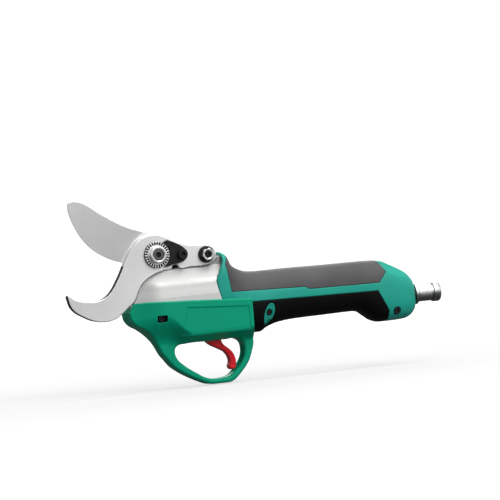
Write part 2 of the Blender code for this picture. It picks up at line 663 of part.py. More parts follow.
def screw_mesh():
    """The screw with its ball groove, as one skin that winds round the shaft."""
    turns = int((THREAD_END - SCREW_FRONT - 6.0) / SCREW_LEAD)
    verts = []
    # columns run along the shaft, and each column's groove is shifted by its angle
    for k in range(SCREW_SIDES):
        phase = k / SCREW_SIDES
        column = [(SCREW_FRONT, SCREW_R - 0.8), (SCREW_FRONT + 0.8, SCREW_R)]
        for turn in range(turns):
            for part, height in GROOVE:
                x = SCREW_FRONT + 2.0 + (turn + part + phase) * SCREW_LEAD
                column.append((x, SCREW_R + height))
        column += [(THREAD_END, SCREW_R), (THREAD_END + 0.6, JOURNAL_R),
                   (SCREW_REAR - 0.4, JOURNAL_R), (SCREW_REAR, JOURNAL_R - 0.4)]
        a = 2 * math.pi * k / SCREW_SIDES
        verts += [(x, r * math.cos(a), r * math.sin(a) + SCREW_Z) for x, r in column]
    columns = number_rows(SCREW_SIDES, len(column))
    faces = sheet(columns)
    # back at the first column the groove has moved on by one pitch
    first, final = columns[0], columns[-1]
    shift = len(GROOVE)
    last = 1 + shift * turns
    faces.append((final[0], final[1], first[1], first[0]))
    # the first pitch of the first column closes down to the start
    faces.append((final[1], final[2], *first[2 + shift:0:-1]))
    faces += sheet([final[2:last - shift + 1], first[2 + shift:last + 1]])
    # the last pitch of the final column closes down to the thread's end
    faces.append((*final[last - shift:last + 2], first[last + 1], first[last]))
    faces += sheet([final[last + 1:], first[last + 1:]])
    faces.append(tuple(column[0] for column in columns))
    faces.append(tuple(column[-1] for column in columns)[::-1])
    return facing_out((verts, faces))


add("ball_screw", screw_mesh(), "steel", "screw_axis", smooth=30)
CASE_R = 14.1            # outside of the screw housing and the ring gear
SCREW_HOUSING = [
    (52.8, 11.3), (52.8, 13.4), (78.0, 13.4), (79.0, CASE_R), (93.4, CASE_R), (93.4, 12.3),
    (82.0, 12.3), (82.0, 10.9), (81.0, 10.9), (81.0, 11.3),
]
turned("screw_housing", SCREW_HOUSING, "cast")
turned("screw_bearing", [(82.3, 4.3), (82.3, 12.0), (90.3, 12.0), (90.3, 4.3)], "satin")
turned("bearing_lock_nut", rod(90.7, 93.6, 7.0, 4.3, 0.3), "black_metal", 12,
       parent="screw_axis")

# ---------------------------------------------------------------- planetary gearbox
SUN_R, PLANET_R, RING_R = SUN_T * MODULE / 2, PLANET_T * MODULE / 2, RING_T * MODULE / 2
PLANET_ANGLES = [2 * math.pi * i / 3 for i in range(3)]


def gear(teeth, pitch_r, phase, tip=0.60, root=0.72, tip_part=0.09):
    """A gear outline with a tooth centred on the angle phase.

    tip and root are heights from the pitch circle, negative for inward teeth. tip_part is half
    the width of a tooth's tip in pitches."""
    tooth = ((-0.31, pitch_r - root), (-0.18, pitch_r), (-tip_part, pitch_r + tip),
             (tip_part, pitch_r + tip), (0.18, pitch_r), (0.31, pitch_r - root))
    step = 2 * math.pi / teeth
    out = []
    for k in range(teeth):
        a = phase + k * step
        out += [(r * math.cos(a + u * step), r * math.sin(a + u * step)) for u, r in tooth]
    return out


def plate_x(loops, x0, x1, y=0.0, z=SCREW_Z):
    """A plate that is thick in x, its loops drawn as (y, z) about the axis through y, z."""
    verts, faces = plate(loops, x0, x1)
    return facing_out(([(thick, u + y, v + z) for u, thick, v in verts], faces))


def planet_phase(theta):
    """The angle of a tooth on the planet at theta, so that a gap meets the sun's tooth."""
    sun_step = 2 * math.pi / SUN_T
    nearest = round(theta / sun_step) * sun_step
    gap = theta + math.pi - SUN_R * (nearest - theta) / PLANET_R
    return gap + math.pi / PLANET_T


def ring_phase():
    """The angle of a ring tooth, so that a gap meets the tooth of the planet at angle zero."""
    step, first = 2 * math.pi / PLANET_T, planet_phase(0.0)
    tooth = first + round(-first / step) * step
    return PLANET_R * tooth / RING_R + math.pi / RING_T


gear_bore = circle(0, 0, 1.75, 10)
add("sun_gear", plate_x([gear(SUN_T, SUN_R, 0.0), gear_bore], 98.4, 106.4), "steel",
    "motor_axis")
carrier = turned("planet_carrier", [(94.4, 4.2), (94.4, 10.4), (98.2, 10.4), (98.2, 4.2)],
                 "satin", parent="screw_axis")
for i, theta in enumerate(PLANET_ANGLES, 1):
    centre = (ORBIT * math.cos(theta), SCREW_Z + ORBIT * math.sin(theta))
    axis_empty(f"planet_axis_{i}", 101.6, *centre)
    planet = plate_x([gear(PLANET_T, PLANET_R, planet_phase(theta)), gear_bore],
                     98.7, 104.5, *centre)
    add(f"planet_gear_{i}", planet, "steel", f"planet_axis_{i}")
    pin = turned(f"cut_carrier_pin_{i}", drill(96.0, 105.3, 1.55), "satin", 10, centre,
                 parent="screw_axis", cutter=True)
    boolean(carrier, pin, operation="UNION")
ring_teeth = gear(RING_T, RING_R, ring_phase(), tip=-0.5, root=-0.8, tip_part=0.10)
add("ring_gear", plate_x([circle(0, 0, CASE_R, 28), ring_teeth], 94.0, 106.6), "cast")

# ---------------------------------------------------------------- motor
BELL_R, BELL_INNER = 14.2, 12.6
FRONT_BELL = [
    (107.2, 3.4), (107.2, 13.4), (107.8, BELL_R), (113.4, BELL_R), (113.4, BELL_INNER),
    (109.4, BELL_INNER), (109.4, 3.4),
]
REAR_BELL = [
    (152.1, BELL_INNER), (152.1, BELL_R), (157.4, BELL_R), (158.0, 13.4), (158.0, 3.0),
    (155.8, 3.0), (155.8, BELL_INNER),
]
turned("motor_front_bell", FRONT_BELL, "cast")
turned("motor_can", rod(113.7, 151.8, 14.4, 13.6, 0.2), "black_metal")
turned("stator", rod(116.6, 148.6, 13.3, 8.7, 0.3), "copper")
turned("rotor_magnet", rod(117.6, 147.6, 8.2, 1.8, 0.3), "satin", 20, parent="motor_axis")
turned("motor_shaft", rod(98.6, 160.0, 1.6, ease=0.3), "steel", 10, parent="motor_axis")
turned("motor_rear_bell", REAR_BELL, "cast")

# ---------------------------------------------------------------- electronics
SINK_HALF, SINK_BASE, SINK_ROOT, SINK_TOP = 8.0, -34.6, -32.8, -29.0  # half width, heights
FINS, FIN_PITCH, FIN_WIDTH = 5, 3.6, 1.6
BATTERY_LEAD = [(196.6, -50.0), (192.0, -50.2), (188.6, -47.0), (188.0, -40.5), (188.0, -37.0)]
MOTOR_LEAD = [(158.4, -31.2), (160.4, -31.6), (162.4, -32.8), (163.6, -34.6)]


def heatsink_outline():
    """The finned section as (y, z) points."""
    out = [(-SINK_HALF, SINK_BASE), (SINK_HALF, SINK_BASE)]
    for k in range(FINS):
        y = SINK_HALF - k * FIN_PITCH
        out += [(y, SINK_TOP), (y - FIN_WIDTH, SINK_TOP)]
        if k < FINS - 1:
            out += [(y - FIN_WIDTH, SINK_ROOT), (y - FIN_PITCH, SINK_ROOT)]
    return out


def cable(name, path, y, radius, mat):
    """A cable along (x, z) points in the plane at y."""
    points = [(x, y, z) for x, z in path]
    across = Vector((0, 1, 0))
    add(name, wire(points, radius, 8, lambda point, tangent: tangent.cross(across)), mat)


add("control_board", box(162.5, 190.5, -8.6, 8.6, -36.6, -35.0), "board")
add("board_heatsink", prism_x(heatsink_outline(), 165.0, 181.0), "cast")
turned("bus_capacitor", rod(164.0, 180.0, 4.6, ease=0.5), "black_plastic", 14, (0.0, -42.0))
cable("battery_lead", spline(BATTERY_LEAD, 3.0, closed=False), 0.0, 1.7, "black_rubber")
cable("motor_lead", MOTOR_LEAD, 7.0, 0.9, "red")

# ---------------------------------------------------------------- cable connector
CONNECTOR = (0.0, CONN_Z)
CONNECTOR_BODY = [
    (195.4, 4.6), (195.4, 6.2), (206.1, 6.2), (206.6, 6.4), (206.6, 8.2), (209.2, 8.2),
    (209.8, 6.3), (221.6, 6.3), (222.0, 7.4), (226.8, 7.4), (227.6, 6.7), (227.6, 5.5),
    (216.0, 5.5), (216.0, 4.6),
]
turned("connector_gasket", rod(REAR_X + 0.3, REAR_X + 1.9, 8.4, 6.6, 0.3), "black_rubber",
       centre=CONNECTOR)
turned("connector_body", CONNECTOR_BODY, "satin", centre=CONNECTOR)
lock_nut_loops = [circle(0, 0, 9.4, 6), circle(0, 0, 6.5, 20)]
add("connector_lock_nut", plate_x(lock_nut_loops, 196.2, 200.0, *CONNECTOR), "satin")
turned("connector_insert", rod(199.0, 221.0, 4.4, ease=0.3), "black_plastic", 16, CONNECTOR)

# ---------------------------------------------------------------- handle
# Tables of (x, value) along the handle.
ZTOP = [                 # height of the top
    (42, -3.0), (49, -2.4), (52, -2.8), (54.5, -4.6), (56.8, -10.4), (60, -14.0), (66, -17.4),
    (72, -19.3), (82, -20.0), (97, -20.0), (133, -20.6), (170, -21.1), (178, -21.6),
    (186, -25.2), (193, -28.9), (199, -32.6), (204, -38.2), (209, -44.0),
]
ZBOT = [                 # height of the bottom
    (42, -52.3), (52, -52.6), (56, -54.0), (60, -56.6), (66, -61.6), (70, -64.4), (75, -65.9),
    (78, -65.9), (83, -63.3), (93, -60.2), (107, -58.8), (131, -58.4), (154, -58.1),
    (160, -59.0), (166, -63.0), (171, -66.6), (176, -68.2), (184, -68.2), (195, -67.7),
    (200, -66.0), (204, -62.4), (209, -57.0),
]
HALF = [                 # half width
    (42, 16.2), (46, 16.8), (50, 17.2), (55, 17.4), (72, 17.5), (80, 17.9), (100, 17.8),
    (130, 17.6), (160, 17.8), (172, 18.4), (184, 18.6), (193, 17.4), (199, 15.2), (204, 11.6),
    (209, 9.0),
]
POWER = [                # squareness of the section; 2 is an ellipse
    (42, 3.2), (60, 2.7), (80, 2.4), (150, 2.4), (172, 2.8), (186, 3.2), (209, 3.0),
]
# heights of the side stripe's edges
UPPER = [(42, -33.0), (113.2, -35.4), (116.4, -37.4), (209, -38.8)]
LOWER = [(42, -42.0), (70, -42.1), (171, -44.0), (209, -44.6)]
# Tables of (z, shift in x) that shape the rear edge of the pads and the front edge of the shell
REAR_SHIFT = [
    (-66.0, 1.0), (-62.0, 3.0), (-57.0, 2.4), (-50.7, 0.4), (-43.5, -3.2), (-38.7, -2.4),
    (-36.3, 0.4), (-30.0, 3.4), (-27.5, 3.5), (-21.4, 0.0),
]
FRONT_SHIFT = [
    (-52.0, -3.0), (-38.0, -4.4), (-30.0, -6.4), (-24.0, -7.4), (-17.7, -4.6), (-9.6, -0.6),
    (-3.0, 0.0),
]
FRONT_X = 50.5
PAD_TOP_X, PAD_LOW_X, PAD_END_X = 55.0, 66.0, 175.9  # fronts of the two pads, and their rear
STEP_X = (54.6, 176.3)   # stations that only step the outer skin down to the pads
STATIONS = [
    FRONT_X, STEP_X[0], PAD_TOP_X, 57.2, 61.0, PAD_LOW_X, 71.0, 76.0, 82.0, 90.0, 101.0, 113.2,
    116.4, 130.0, 145.0, 155.0, 162.0, 168.5, PAD_END_X, STEP_X[1], 183.0, 191.0, 197.0, 201.4,
    REAR_X,
]
UP_ROWS, STRIPE_ROWS, LOW_ROWS = 5, 2, 5  # rows above, across and below the stripe
STRIPE_GAP = 0.012       # angle taken by the step between stripe and pad


def hull(x, angle, depth=0.0):
    """(y, z) on the skin: angle goes from 0 at the top round the left side to pi."""
    top, bottom = between(x, ZTOP) - depth, between(x, ZBOT) + depth
    half, power = between(x, HALF) - depth, between(x, POWER)
    middle, height = (top + bottom) / 2, (top - bottom) / 2
    c, s = math.cos(angle), math.sin(angle)
    return (-half * abs(s) ** (2 / power),
            middle + height * math.copysign(abs(c) ** (2 / power), c))


def angle_at(x, z):
    top, bottom, power = between(x, ZTOP), between(x, ZBOT), between(x, POWER)
    c = max(-1.0, min(1.0, (z - (top + bottom) / 2) / ((top - bottom) / 2)))
    return math.acos(math.copysign(abs(c) ** (power / 2), c))


def section_angles(x):
    """Angles round one station: to the stripe's upper edge, across it, then to the bottom."""
    upper, lower = angle_at(x, between(x, UPPER)), angle_at(x, between(x, LOWER))
    out = [upper * k / UP_ROWS for k in range(UP_ROWS)]
    out += [upper + (lower - upper) * k / STRIPE_ROWS for k in range(STRIPE_ROWS)]
    return out + [lower + (math.pi - lower) * k / LOW_ROWS for k in range(LOW_ROWS + 1)]


def skin_point(x, angle, depth):
    y, z = hull(x, angle, depth)
    _, z_full = hull(x, angle)
    near_rear = max(0.0, 1 - abs(x - 176.0) / 9.0)
    near_front = max(0.0, 1 - max(0.0, x - FRONT_X) / 4.0)
    shift = between(z_full, REAR_SHIFT) * near_rear + between(z_full, FRONT_SHIFT) * near_front
    return (x + shift, y, z)


def half_shell(sign):
    """A handle half: outer skin recessed under the pads, inner skin, closed rear wall."""
    stripe_end = UP_ROWS + STRIPE_ROWS
    verts, outer, inner = [], [], []

    def put(x, angle, depth):
        px, py, pz = skin_point(x, angle, depth)
        verts.append((px, min(py, -SEAM), pz))
        return len(verts) - 1

    for x in STATIONS:
        angles = section_angles(x)
        angles.insert(stripe_end, angles[stripe_end] - STRIPE_GAP)
        angles.insert(UP_ROWS + 1, angles[UP_ROWS] + STRIPE_GAP)
        row = []
        for j, angle in enumerate(angles):
            in_top = j <= UP_ROWS and PAD_TOP_X <= x <= PAD_END_X
            in_low = j >= stripe_end + 2 and PAD_LOW_X <= x <= PAD_END_X
            row.append(put(x, angle, PAD if in_top or in_low else 0.0))
        outer.append(row)
    for x in [x for x in STATIONS if x < 199.0 and x not in STEP_X] + [200.5]:
        inner.append([put(x, angle, SHELL_WALL) for angle in section_angles(x)])
    faces = sheet(outer) + sheet(inner, flip=True)
    # the front rim joins rows of different counts, so it is one long face
    faces.append(tuple(inner[0] + outer[0][::-1]))
    faces.append(tuple(outer[-1]))
    faces.append(tuple(inner[-1][::-1]))
    # the seam runs along both skins, top and bottom, and across the rear wall
    seam = [r[0] for r in outer] + [r[-1] for r in outer][::-1]
    seam += [r[-1] for r in inner] + [r[0] for r in inner][::-1]
    faces.append(tuple(seam))
    return on_side((verts, faces), sign)


def grip_pad(sign, upper):
    """A moulded skin that fills one of the shell's recesses flush with the stripe."""
    front = PAD_TOP_X if upper else PAD_LOW_X
    stations = [x for x in STATIONS if front <= x <= PAD_END_X]
    end_gap = {0: 0.3, len(stations) - 1: -0.3}
    verts, skins = [], []
    for depth in (0.0, PAD - 0.2):
        rows = []
        for i, x in enumerate(stations):
            angles = section_angles(x)
            if upper:
                angles = angles[: UP_ROWS + 1]
                angles[-1] -= STRIPE_GAP
            else:
                angles = angles[UP_ROWS + STRIPE_ROWS:]
                angles[0] += STRIPE_GAP
            rows.append(list(range(len(verts), len(verts) + len(angles))))
            for angle in angles:
                px, py, pz = skin_point(x, angle, depth)
                verts.append((px + end_gap.get(i, 0.0), min(py, -SEAM), pz))
        skins.append(rows)
    outer, inner = skins
    faces = sheet(outer) + sheet(inner, flip=True)
    # front and rear rims, then the rims along the pad
    faces += sheet([inner[0], outer[0]]) + sheet([outer[-1], inner[-1]])
    for j, flip in ((0, False), (-1, True)):
        faces += sheet([[r[j] for r in outer], [r[j] for r in inner]], flip)
    return on_side((verts, faces), sign)


def cup_outline():
    """An ellipse leaning 0.3 radians."""
    cos, sin = math.cos(0.3), math.sin(0.3)
    out = []
    for k in range(20):
        u, v = 4.3 * math.cos(k * math.pi / 10), 8.6 * math.sin(k * math.pi / 10)
        out.append((CUP_CENTRE[0] + u * cos + v * sin, CUP_CENTRE[1] - u * sin + v * cos))
    return out


def cup_near(x, z):
    return hull(x, angle_at(x, z))[0] + 0.15


oval = cup_outline()
cut_connector = turned("cut_connector", drill(190.0, 220.0, 6.5), "teal", centre=CONNECTOR,
                       cutter=True)
cut_end = turned_across("cut_end_screw", drill(-30.0, -14.6, 3.0), "teal", 16, END_SCREW,
                        cutter=True)
cut_oval = add("cut_oval", plate([oval], -30.0, -12.6), "teal", cutter=True)
cut_drive = turned("cut_drive_room", drill(40.0, 64.0, 13.7), "teal", cutter=True)
for side, sign in SIDES:
    shell = add(f"handle_shell_{side}", half_shell(sign), "teal", smooth=30)
    boolean(shell, cut_connector, cut_drive)
    add(f"upper_grip_{side}", grip_pad(sign, True), "grey_rubber", smooth=30)
    low_pad = add(f"lower_grip_{side}", grip_pad(sign, False), "black_rubber", smooth=30)
    if sign < 0:
        boolean(shell, cut_end, cut_oval)
        boolean(low_pad, cut_oval)

cup_loops = [inset(anticlockwise(oval), 0.25), circle(*GRIP_SCREW, 2.6, 14)]
add("grip_screw_cup", plate(cup_loops, cup_near, -13.5, chamfer=0.4, far_chamfer=0.0), "teal")


def collar_room():
    """The ring of space that the handle's front collar takes round the rear of the head."""
    # (x, depth under the handle's skin) round the ring's section
    section = [(50.15, -3.0), (54.0, -3.0), (54.0, 4.0), (52.4, 3.9), (50.15, 3.7)]
    verts = []
    for x, depth in section:
        half = [skin_point(x, angle, depth) for angle in section_angles(max(x, FRONT_X))]
        ring = half + [(px, -py, pz) for px, py, pz in half[::-1][1:-1]]
        verts += ring
    rings = number_rows(len(section), len(ring))
    faces = [face for a, b in pairs(rings) for face in join_rings(a, b)]
    return facing_out((verts, faces))


cut_collar = head_cutter("cut_collar_room", collar_room())
boolean(cover, cut_collar)
boolean(frame, cut_collar)

# ---------------------------------------------------------------- trigger guard
GUARD = [
    # front panel, its top and rear
    (-22.9, -34.0, "c"), (17.8, -36.0, "c"), (45.6, -37.8, "c"), (69.2, -39.4, "c"),
    (68.8, -62.0, "c"),
    # finger loop, down the rear and up the front
    (71.6, -67.9), (71.9, -73.5), (70.0, -79.5), (66.8, -86.6), (61.4, -93.2),
    (54.8, -99.2, "c"), (51.0, -100.8), (43.1, -101.0), (33.8, -100.6), (26.7, -97.8),
    (19.6, -94.2), (11.8, -89.4), (5.8, -84.6), (2.0, -79.8), (-1.6, -75.0), (-4.4, -69.4),
    (-7.6, -63.8), (-11.8, -58.4),
    # nose
    (-16.3, -54.7), (-21.8, -51.4), (-25.1, -47.2), (-26.1, -41.4, "c"),
]
FINGER = [               # the finger opening
    (10.9, -69.6), (17.4, -68.6), (35.0, -68.5), (49.0, -68.5), (58.6, -68.6), (62.8, -71.4),
    (64.2, -77.2), (63.2, -82.6), (60.4, -87.4), (55.4, -92.6), (50.6, -96.0), (45.0, -96.9),
    (36.5, -97.0), (31.4, -95.6), (23.6, -91.0), (15.4, -85.2), (9.8, -79.4), (8.3, -74.6),
    (9.0, -71.2),
]
POCKET = [               # hollow round the head and the front of the handle
    (-24.5, -30.0), (75.0, -30.0), (75.0, -66.6), (70.0, -65.2), (60.0, -57.2), (55.0, -54.4),
    (39.0, -54.2), (-9.5, -54.2), (-19.2, -51.3), (-23.5, -46.4), (-24.5, -40.5),
]
# Cutters for the trigger: (name, outer y on the left, outline)
TRIGGER_CUTS = [
    ("room", -6.4, [(20.0, -53.0), (52.5, -53.0), (52.5, -60.0), (51.0, -66.9), (20.0, -66.9)]),
    ("slot", -4.4, [(33.2, -60.0), (51.5, -60.0), (52.5, -72.0), (33.2, -72.0)]),
    ("recess", -4.4, [(50.0, -80.0), (56.0, -74.0), (61.0, -72.5), (65.6, -76.0), (66.0, -80.5),
                      (63.9, -86.0), (60.6, -90.4), (56.4, -94.0), (52.0, -93.0)]),
]
PAST_SEAM = 2.0          # cutters run this far beyond the middle plane


def guard_near(x, z):
    return -guard_half(x, z)


def pocket_near(x, z):
    return -(guard_half(x, z) - GUARD_WALL)


cut_guard_screw = turned_across("cut_guard_screw", drill(-30.0, -12.9, 3.0), "green", 16,
                                GUARD_SCREW, cutter=True)
for side, sign in SIDES:
    guard_shape = plate([spline(GUARD, 5.5), spline(FINGER, 5.5)], guard_near, -SEAM,
                        chamfer=1.0, far_chamfer=0.0, grid=6.0)
    shell = add(f"guard_shell_{side}", on_side(guard_shape, sign), "green")
    pocket_shape = plate([POCKET], pocket_near, PAST_SEAM, grid=6.0)
    boolean(shell, add(f"cut_guard_pocket_{side}", on_side(pocket_shape, sign), "green",
                       cutter=True))
    for part, outer_y, outline in TRIGGER_CUTS:
        cut_shape = on_side(plate([outline], outer_y, PAST_SEAM), sign)
        boolean(shell, add(f"cut_trigger_{part}_{side}", cut_shape, "green", cutter=True))
    if sign < 0:
        boolean(shell, cut_guard_screw)
boolean(cover, cut_guard_screw)

# ---------------------------------------------------------------- case screws, on the left
# (name, (x, z), y of the underside, y of the top, radius, ease, socket radius, socket depth)
CASE_SCREWS = [
    ("grip_screw", GRIP_SCREW, -12.9, -15.0, 2.3, 0.4, 1.0, 1.0),
    ("end_screw", END_SCREW, -14.9, -17.0, 2.6, 0.4, 1.1, 1.0),
    ("guard_screw", GUARD_SCREW, -13.2, -16.1, 2.7, 0.5, 1.1, 1.1),
]
for name, centre, under, top, radius, ease, socket_r, socket_depth in CASE_SCREWS:
    head = [
        (under, 0.0), (under, radius), (top + ease, radius), (top, radius - ease),
        (top, socket_r), (top + socket_depth, socket_r), (top + socket_depth, 0.0),
    ]
    turned_across(name, head, "black_metal", 12, centre)

# ---------------------------------------------------------------- trigger
TRIGGER = [
    # body round the pivot, and its rear
    (31.0, -57.8), (38.0, -57.2), (44.0, -58.0), (47.6, -60.6), (48.2, -65.0), (47.2, -69.4),
    # rear of the finger lever, and its tip
    (48.6, -72.2), (52.0, -75.2), (54.9, -78.2), (57.0, -82.8), (57.3, -87.6), (56.6, -90.4),
    (54.6, -91.7), (52.2, -91.2), (51.2, -89.2),
    # front of the finger lever, back up to the body
    (52.3, -86.2), (51.8, -82.0), (49.4, -78.3), (44.6, -75.2), (39.6, -72.6), (36.2, -70.0),
    (34.4, -67.6), (31.6, -64.4), (28.6, -62.6), (28.4, -59.2),
]
SPRING_X, SPRING_Z = 43.6, (-57.5, -53.8)   # axis, and lower and upper end
SPRING_R, SPRING_WIRE = 2.0, 0.28           # coil and wire radius
SPRING_TURNS, SPRING_STEPS = 2.5, 10        # turns, and steps per turn

trigger_loops = [spline(TRIGGER, 3.0), circle(*TRIGGER_PIVOT, 1.75, 12)]
add("trigger", plate(trigger_loops, -3.7, 3.7, chamfer=1.1), "red", "trigger_axis")
turned_across("trigger_pin", rod(-6.2, 6.2, 1.6, ease=0.3), "steel", 12, TRIGGER_PIVOT)
add("trigger_magnet", box(28.9, 31.7, -2.5, 2.5, -57.2, -55.9), "satin", "trigger_axis")
add("sensor_board", box(21.5, 33.0, -5.6, 5.6, -54.6, -53.9), "board")


def spring_mesh():
    low, high = SPRING_Z
    steps = SPRING_STEPS * SPRING_TURNS
    path = []
    for k in range(int(steps) + 1):
        a = 2 * math.pi * k / SPRING_STEPS
        z = low + SPRING_WIRE + (high - low - 2 * SPRING_WIRE) * k / steps
        path.append((SPRING_X + SPRING_R * math.cos(a), SPRING_R * math.sin(a), z))
    return wire(path, SPRING_WIRE, 6, lambda point, tangent: Vector((point.x - SPRING_X, point.y, 0)))


add("trigger_spring", spring_mesh(), "steel", smooth=60)
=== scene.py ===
"""The looks of the battery electric pruner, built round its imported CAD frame."""
import math
import json

import bpy
import numpy as np
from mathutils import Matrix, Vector
from mathutils.geometry import delaunay_2d_cdt


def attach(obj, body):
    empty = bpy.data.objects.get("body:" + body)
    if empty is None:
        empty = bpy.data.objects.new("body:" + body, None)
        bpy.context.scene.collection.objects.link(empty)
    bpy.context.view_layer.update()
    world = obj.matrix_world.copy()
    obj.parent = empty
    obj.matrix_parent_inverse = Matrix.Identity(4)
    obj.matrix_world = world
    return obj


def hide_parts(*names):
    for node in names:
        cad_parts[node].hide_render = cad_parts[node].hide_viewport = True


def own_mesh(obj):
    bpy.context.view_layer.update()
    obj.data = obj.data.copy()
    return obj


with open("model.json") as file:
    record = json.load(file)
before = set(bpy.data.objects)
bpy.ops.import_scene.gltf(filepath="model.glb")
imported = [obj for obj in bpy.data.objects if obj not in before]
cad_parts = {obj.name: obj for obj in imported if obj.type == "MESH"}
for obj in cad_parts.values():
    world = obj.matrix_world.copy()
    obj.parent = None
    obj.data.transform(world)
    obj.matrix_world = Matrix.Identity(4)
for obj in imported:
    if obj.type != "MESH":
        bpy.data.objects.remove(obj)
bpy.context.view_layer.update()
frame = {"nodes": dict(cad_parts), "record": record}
MM = 0.001
CENTRE = np.array((76.5, 0.0, -27.57))     # the frame's origin, in millimetres from the blade's pivot axis
FINE = 1.0      # coarser skins while trying things


# ============================================================================ outlines and tables
def spline(points, step, closed=True):
    """Points along a smooth curve through (x, z) points. A point with a third value is a corner."""
    n = len(points)
    xy = [(p[0], p[1]) for p in points]
    corner = [len(p) > 2 for p in points]
    out = []

    def tangent(i, span):
        if corner[i] or (not closed and i in (0, n - 1)):
            return None
        prev, here, nxt = xy[(i - 1) % n], xy[i], xy[(i + 1) % n]
        la, lb = max(math.dist(prev, here), 1e-6), max(math.dist(here, nxt), 1e-6)
        return tuple(((here[k] - prev[k]) / la * lb + (nxt[k] - here[k]) / lb * la) / (la + lb) * span for k in (0, 1))

    for i in range(n if closed else n - 1):
        j = (i + 1) % n
        a, b = xy[i], xy[j]
        L = max(math.dist(a, b), 1e-6)
        ta, tb = tangent(i, L), tangent(j, L)
        chord = (b[0] - a[0], b[1] - a[1])
        if ta is None and tb is None:
            ta = tb = chord
        elif ta is None:
            ta = tuple(1.5 * chord[k] - 0.5 * tb[k] for k in (0, 1))
        elif tb is None:
            tb = tuple(1.5 * chord[k] - 0.5 * ta[k] for k in (0, 1))
        steps = 1 if corner[i] and corner[j] else max(1, round(L / step))
        for s in range(steps):
            t = s / steps
            h00, h10 = 2 * t**3 - 3 * t**2 + 1, t**3 - 2 * t**2 + t
            h01, h11 = -2 * t**3 + 3 * t**2, t**3 - t**2
            out.append(tuple(h00 * a[k] + h10 * ta[k] + h01 * b[k] + h11 * tb[k] for k in (0, 1)))
    if not closed:
        out.append(xy[-1])
    return out


def area(loop):
    return 0.5 * sum(a[0] * b[1] - b[0] * a[1] for a, b in zip(loop, loop[1:] + loop[:1]))


def ccw(loop):
    return loop if area(loop) > 0 else loop[::-1]


def circle(cx, cz, r, n=48, start=0.0):
    return [(cx + r * math.cos(start + 2 * math.pi * k / n), cz + r * math.sin(start + 2 * math.pi * k / n)) for k in range(n)]


def inset(loop, d):
    n, out = len(loop), []
    for i in range(n):
        a, p, b = loop[i - 1], loop[i], loop[(i + 1) % n]
        e1, e2 = (p[0] - a[0], p[1] - a[1]), (b[0] - p[0], b[1] - p[1])
        l1, l2 = math.hypot(*e1) or 1, math.hypot(*e2) or 1
        nx, nz = -(e1[1] / l1 + e2[1] / l2), e1[0] / l1 + e2[0] / l2
        m = math.hypot(nx, nz) or 1
        out.append((p[0] + nx / m * d / max(0.5, m / 2), p[1] + nz / m * d / max(0.5, m / 2)))
    return out


def sd_poly(px, pz, poly):
    """Signed distance to a closed outline, negative inside. px and pz broadcast together."""
    px, pz = np.broadcast_arrays(px, pz)
    shape = px.shape
    P = np.stack([px.ravel(), pz.ravel()], 1)
    A = np.asarray(poly, float)
    B = np.roll(A, -1, 0)
    E = B - A
    ee = np.maximum((E * E).sum(1), 1e-12)
    dz = np.where(E[:, 1] == 0, 1e-12, E[:, 1])
    out = np.empty(len(P))
    for s in range(0, len(P), 8000):
        p = P[s : s + 8000]
        dx, dy = p[:, 0, None] - A[None, :, 0], p[:, 1, None] - A[None, :, 1]
        t = np.clip((dx * E[:, 0] + dy * E[:, 1]) / ee, 0, 1)
        qx, qy = dx - t * E[:, 0], dy - t * E[:, 1]
        dist = np.sqrt((qx * qx + qy * qy).min(1))
        cross = (A[None, :, 1] > p[:, 1, None]) != (B[None, :, 1] > p[:, 1, None])
        hit = cross & (dx < dy * E[:, 0] / dz)
        out[s : s + 8000] = np.where(hit.sum(1) % 2 == 1, -dist, dist)
    return out.reshape(shape)


def cubic_weights(t):
    return (-0.5 * t**3 + t**2 - 0.5 * t, 1.5 * t**3 - 2.5 * t**2 + 1, -1.5 * t**3 + 2 * t**2 + 0.5 * t, 0.5 * t**3 - 0.5 * t**2)


class Outline:
    """The signed distance to one or more closed outlines, worked out once on a fine grid in side view and then read smoothly."""

    def __init__(self, distance, lo, hi, h=0.3):
        self.lo, self.h = np.array(lo, float), h
        self.n = [int((hi[i] - lo[i]) / h) + 2 for i in (0, 1)]
        x, z = self.lo[0] + np.arange(self.n[0]) * h, self.lo[1] + np.arange(self.n[1]) * h
        self.v = distance(x[:, None], z[None, :]).astype(np.float64)

    def __call__(self, x, z):
        u, w = (x - self.lo[0]) / self.h, (z - self.lo[1]) / self.h
        uc, wc = np.clip(u, 1.0, self.n[0] - 2.001), np.clip(w, 1.0, self.n[1] - 2.001)
        i, k = uc.astype(int), wc.astype(int)
        a, b = cubic_weights(uc - i), cubic_weights(wc - k)
        out = 0.0
        for p in range(4):
            for q in range(4):
                out = out + a[p] * b[q] * self.v[i + p - 1, k + q - 1]
        return out + np.hypot(u - uc, w - wc) * self.h


def outline(loop, pad=3.0, h=0.3):
    P = np.array(loop)
    return Outline(lambda x, z: sd_poly(x, z, loop), P.min(0) - pad, P.max(0) + pad, h)


def smooth01(t):
    t = np.clip(t, 0.0, 1.0)
    return t * t * (3 - 2 * t)


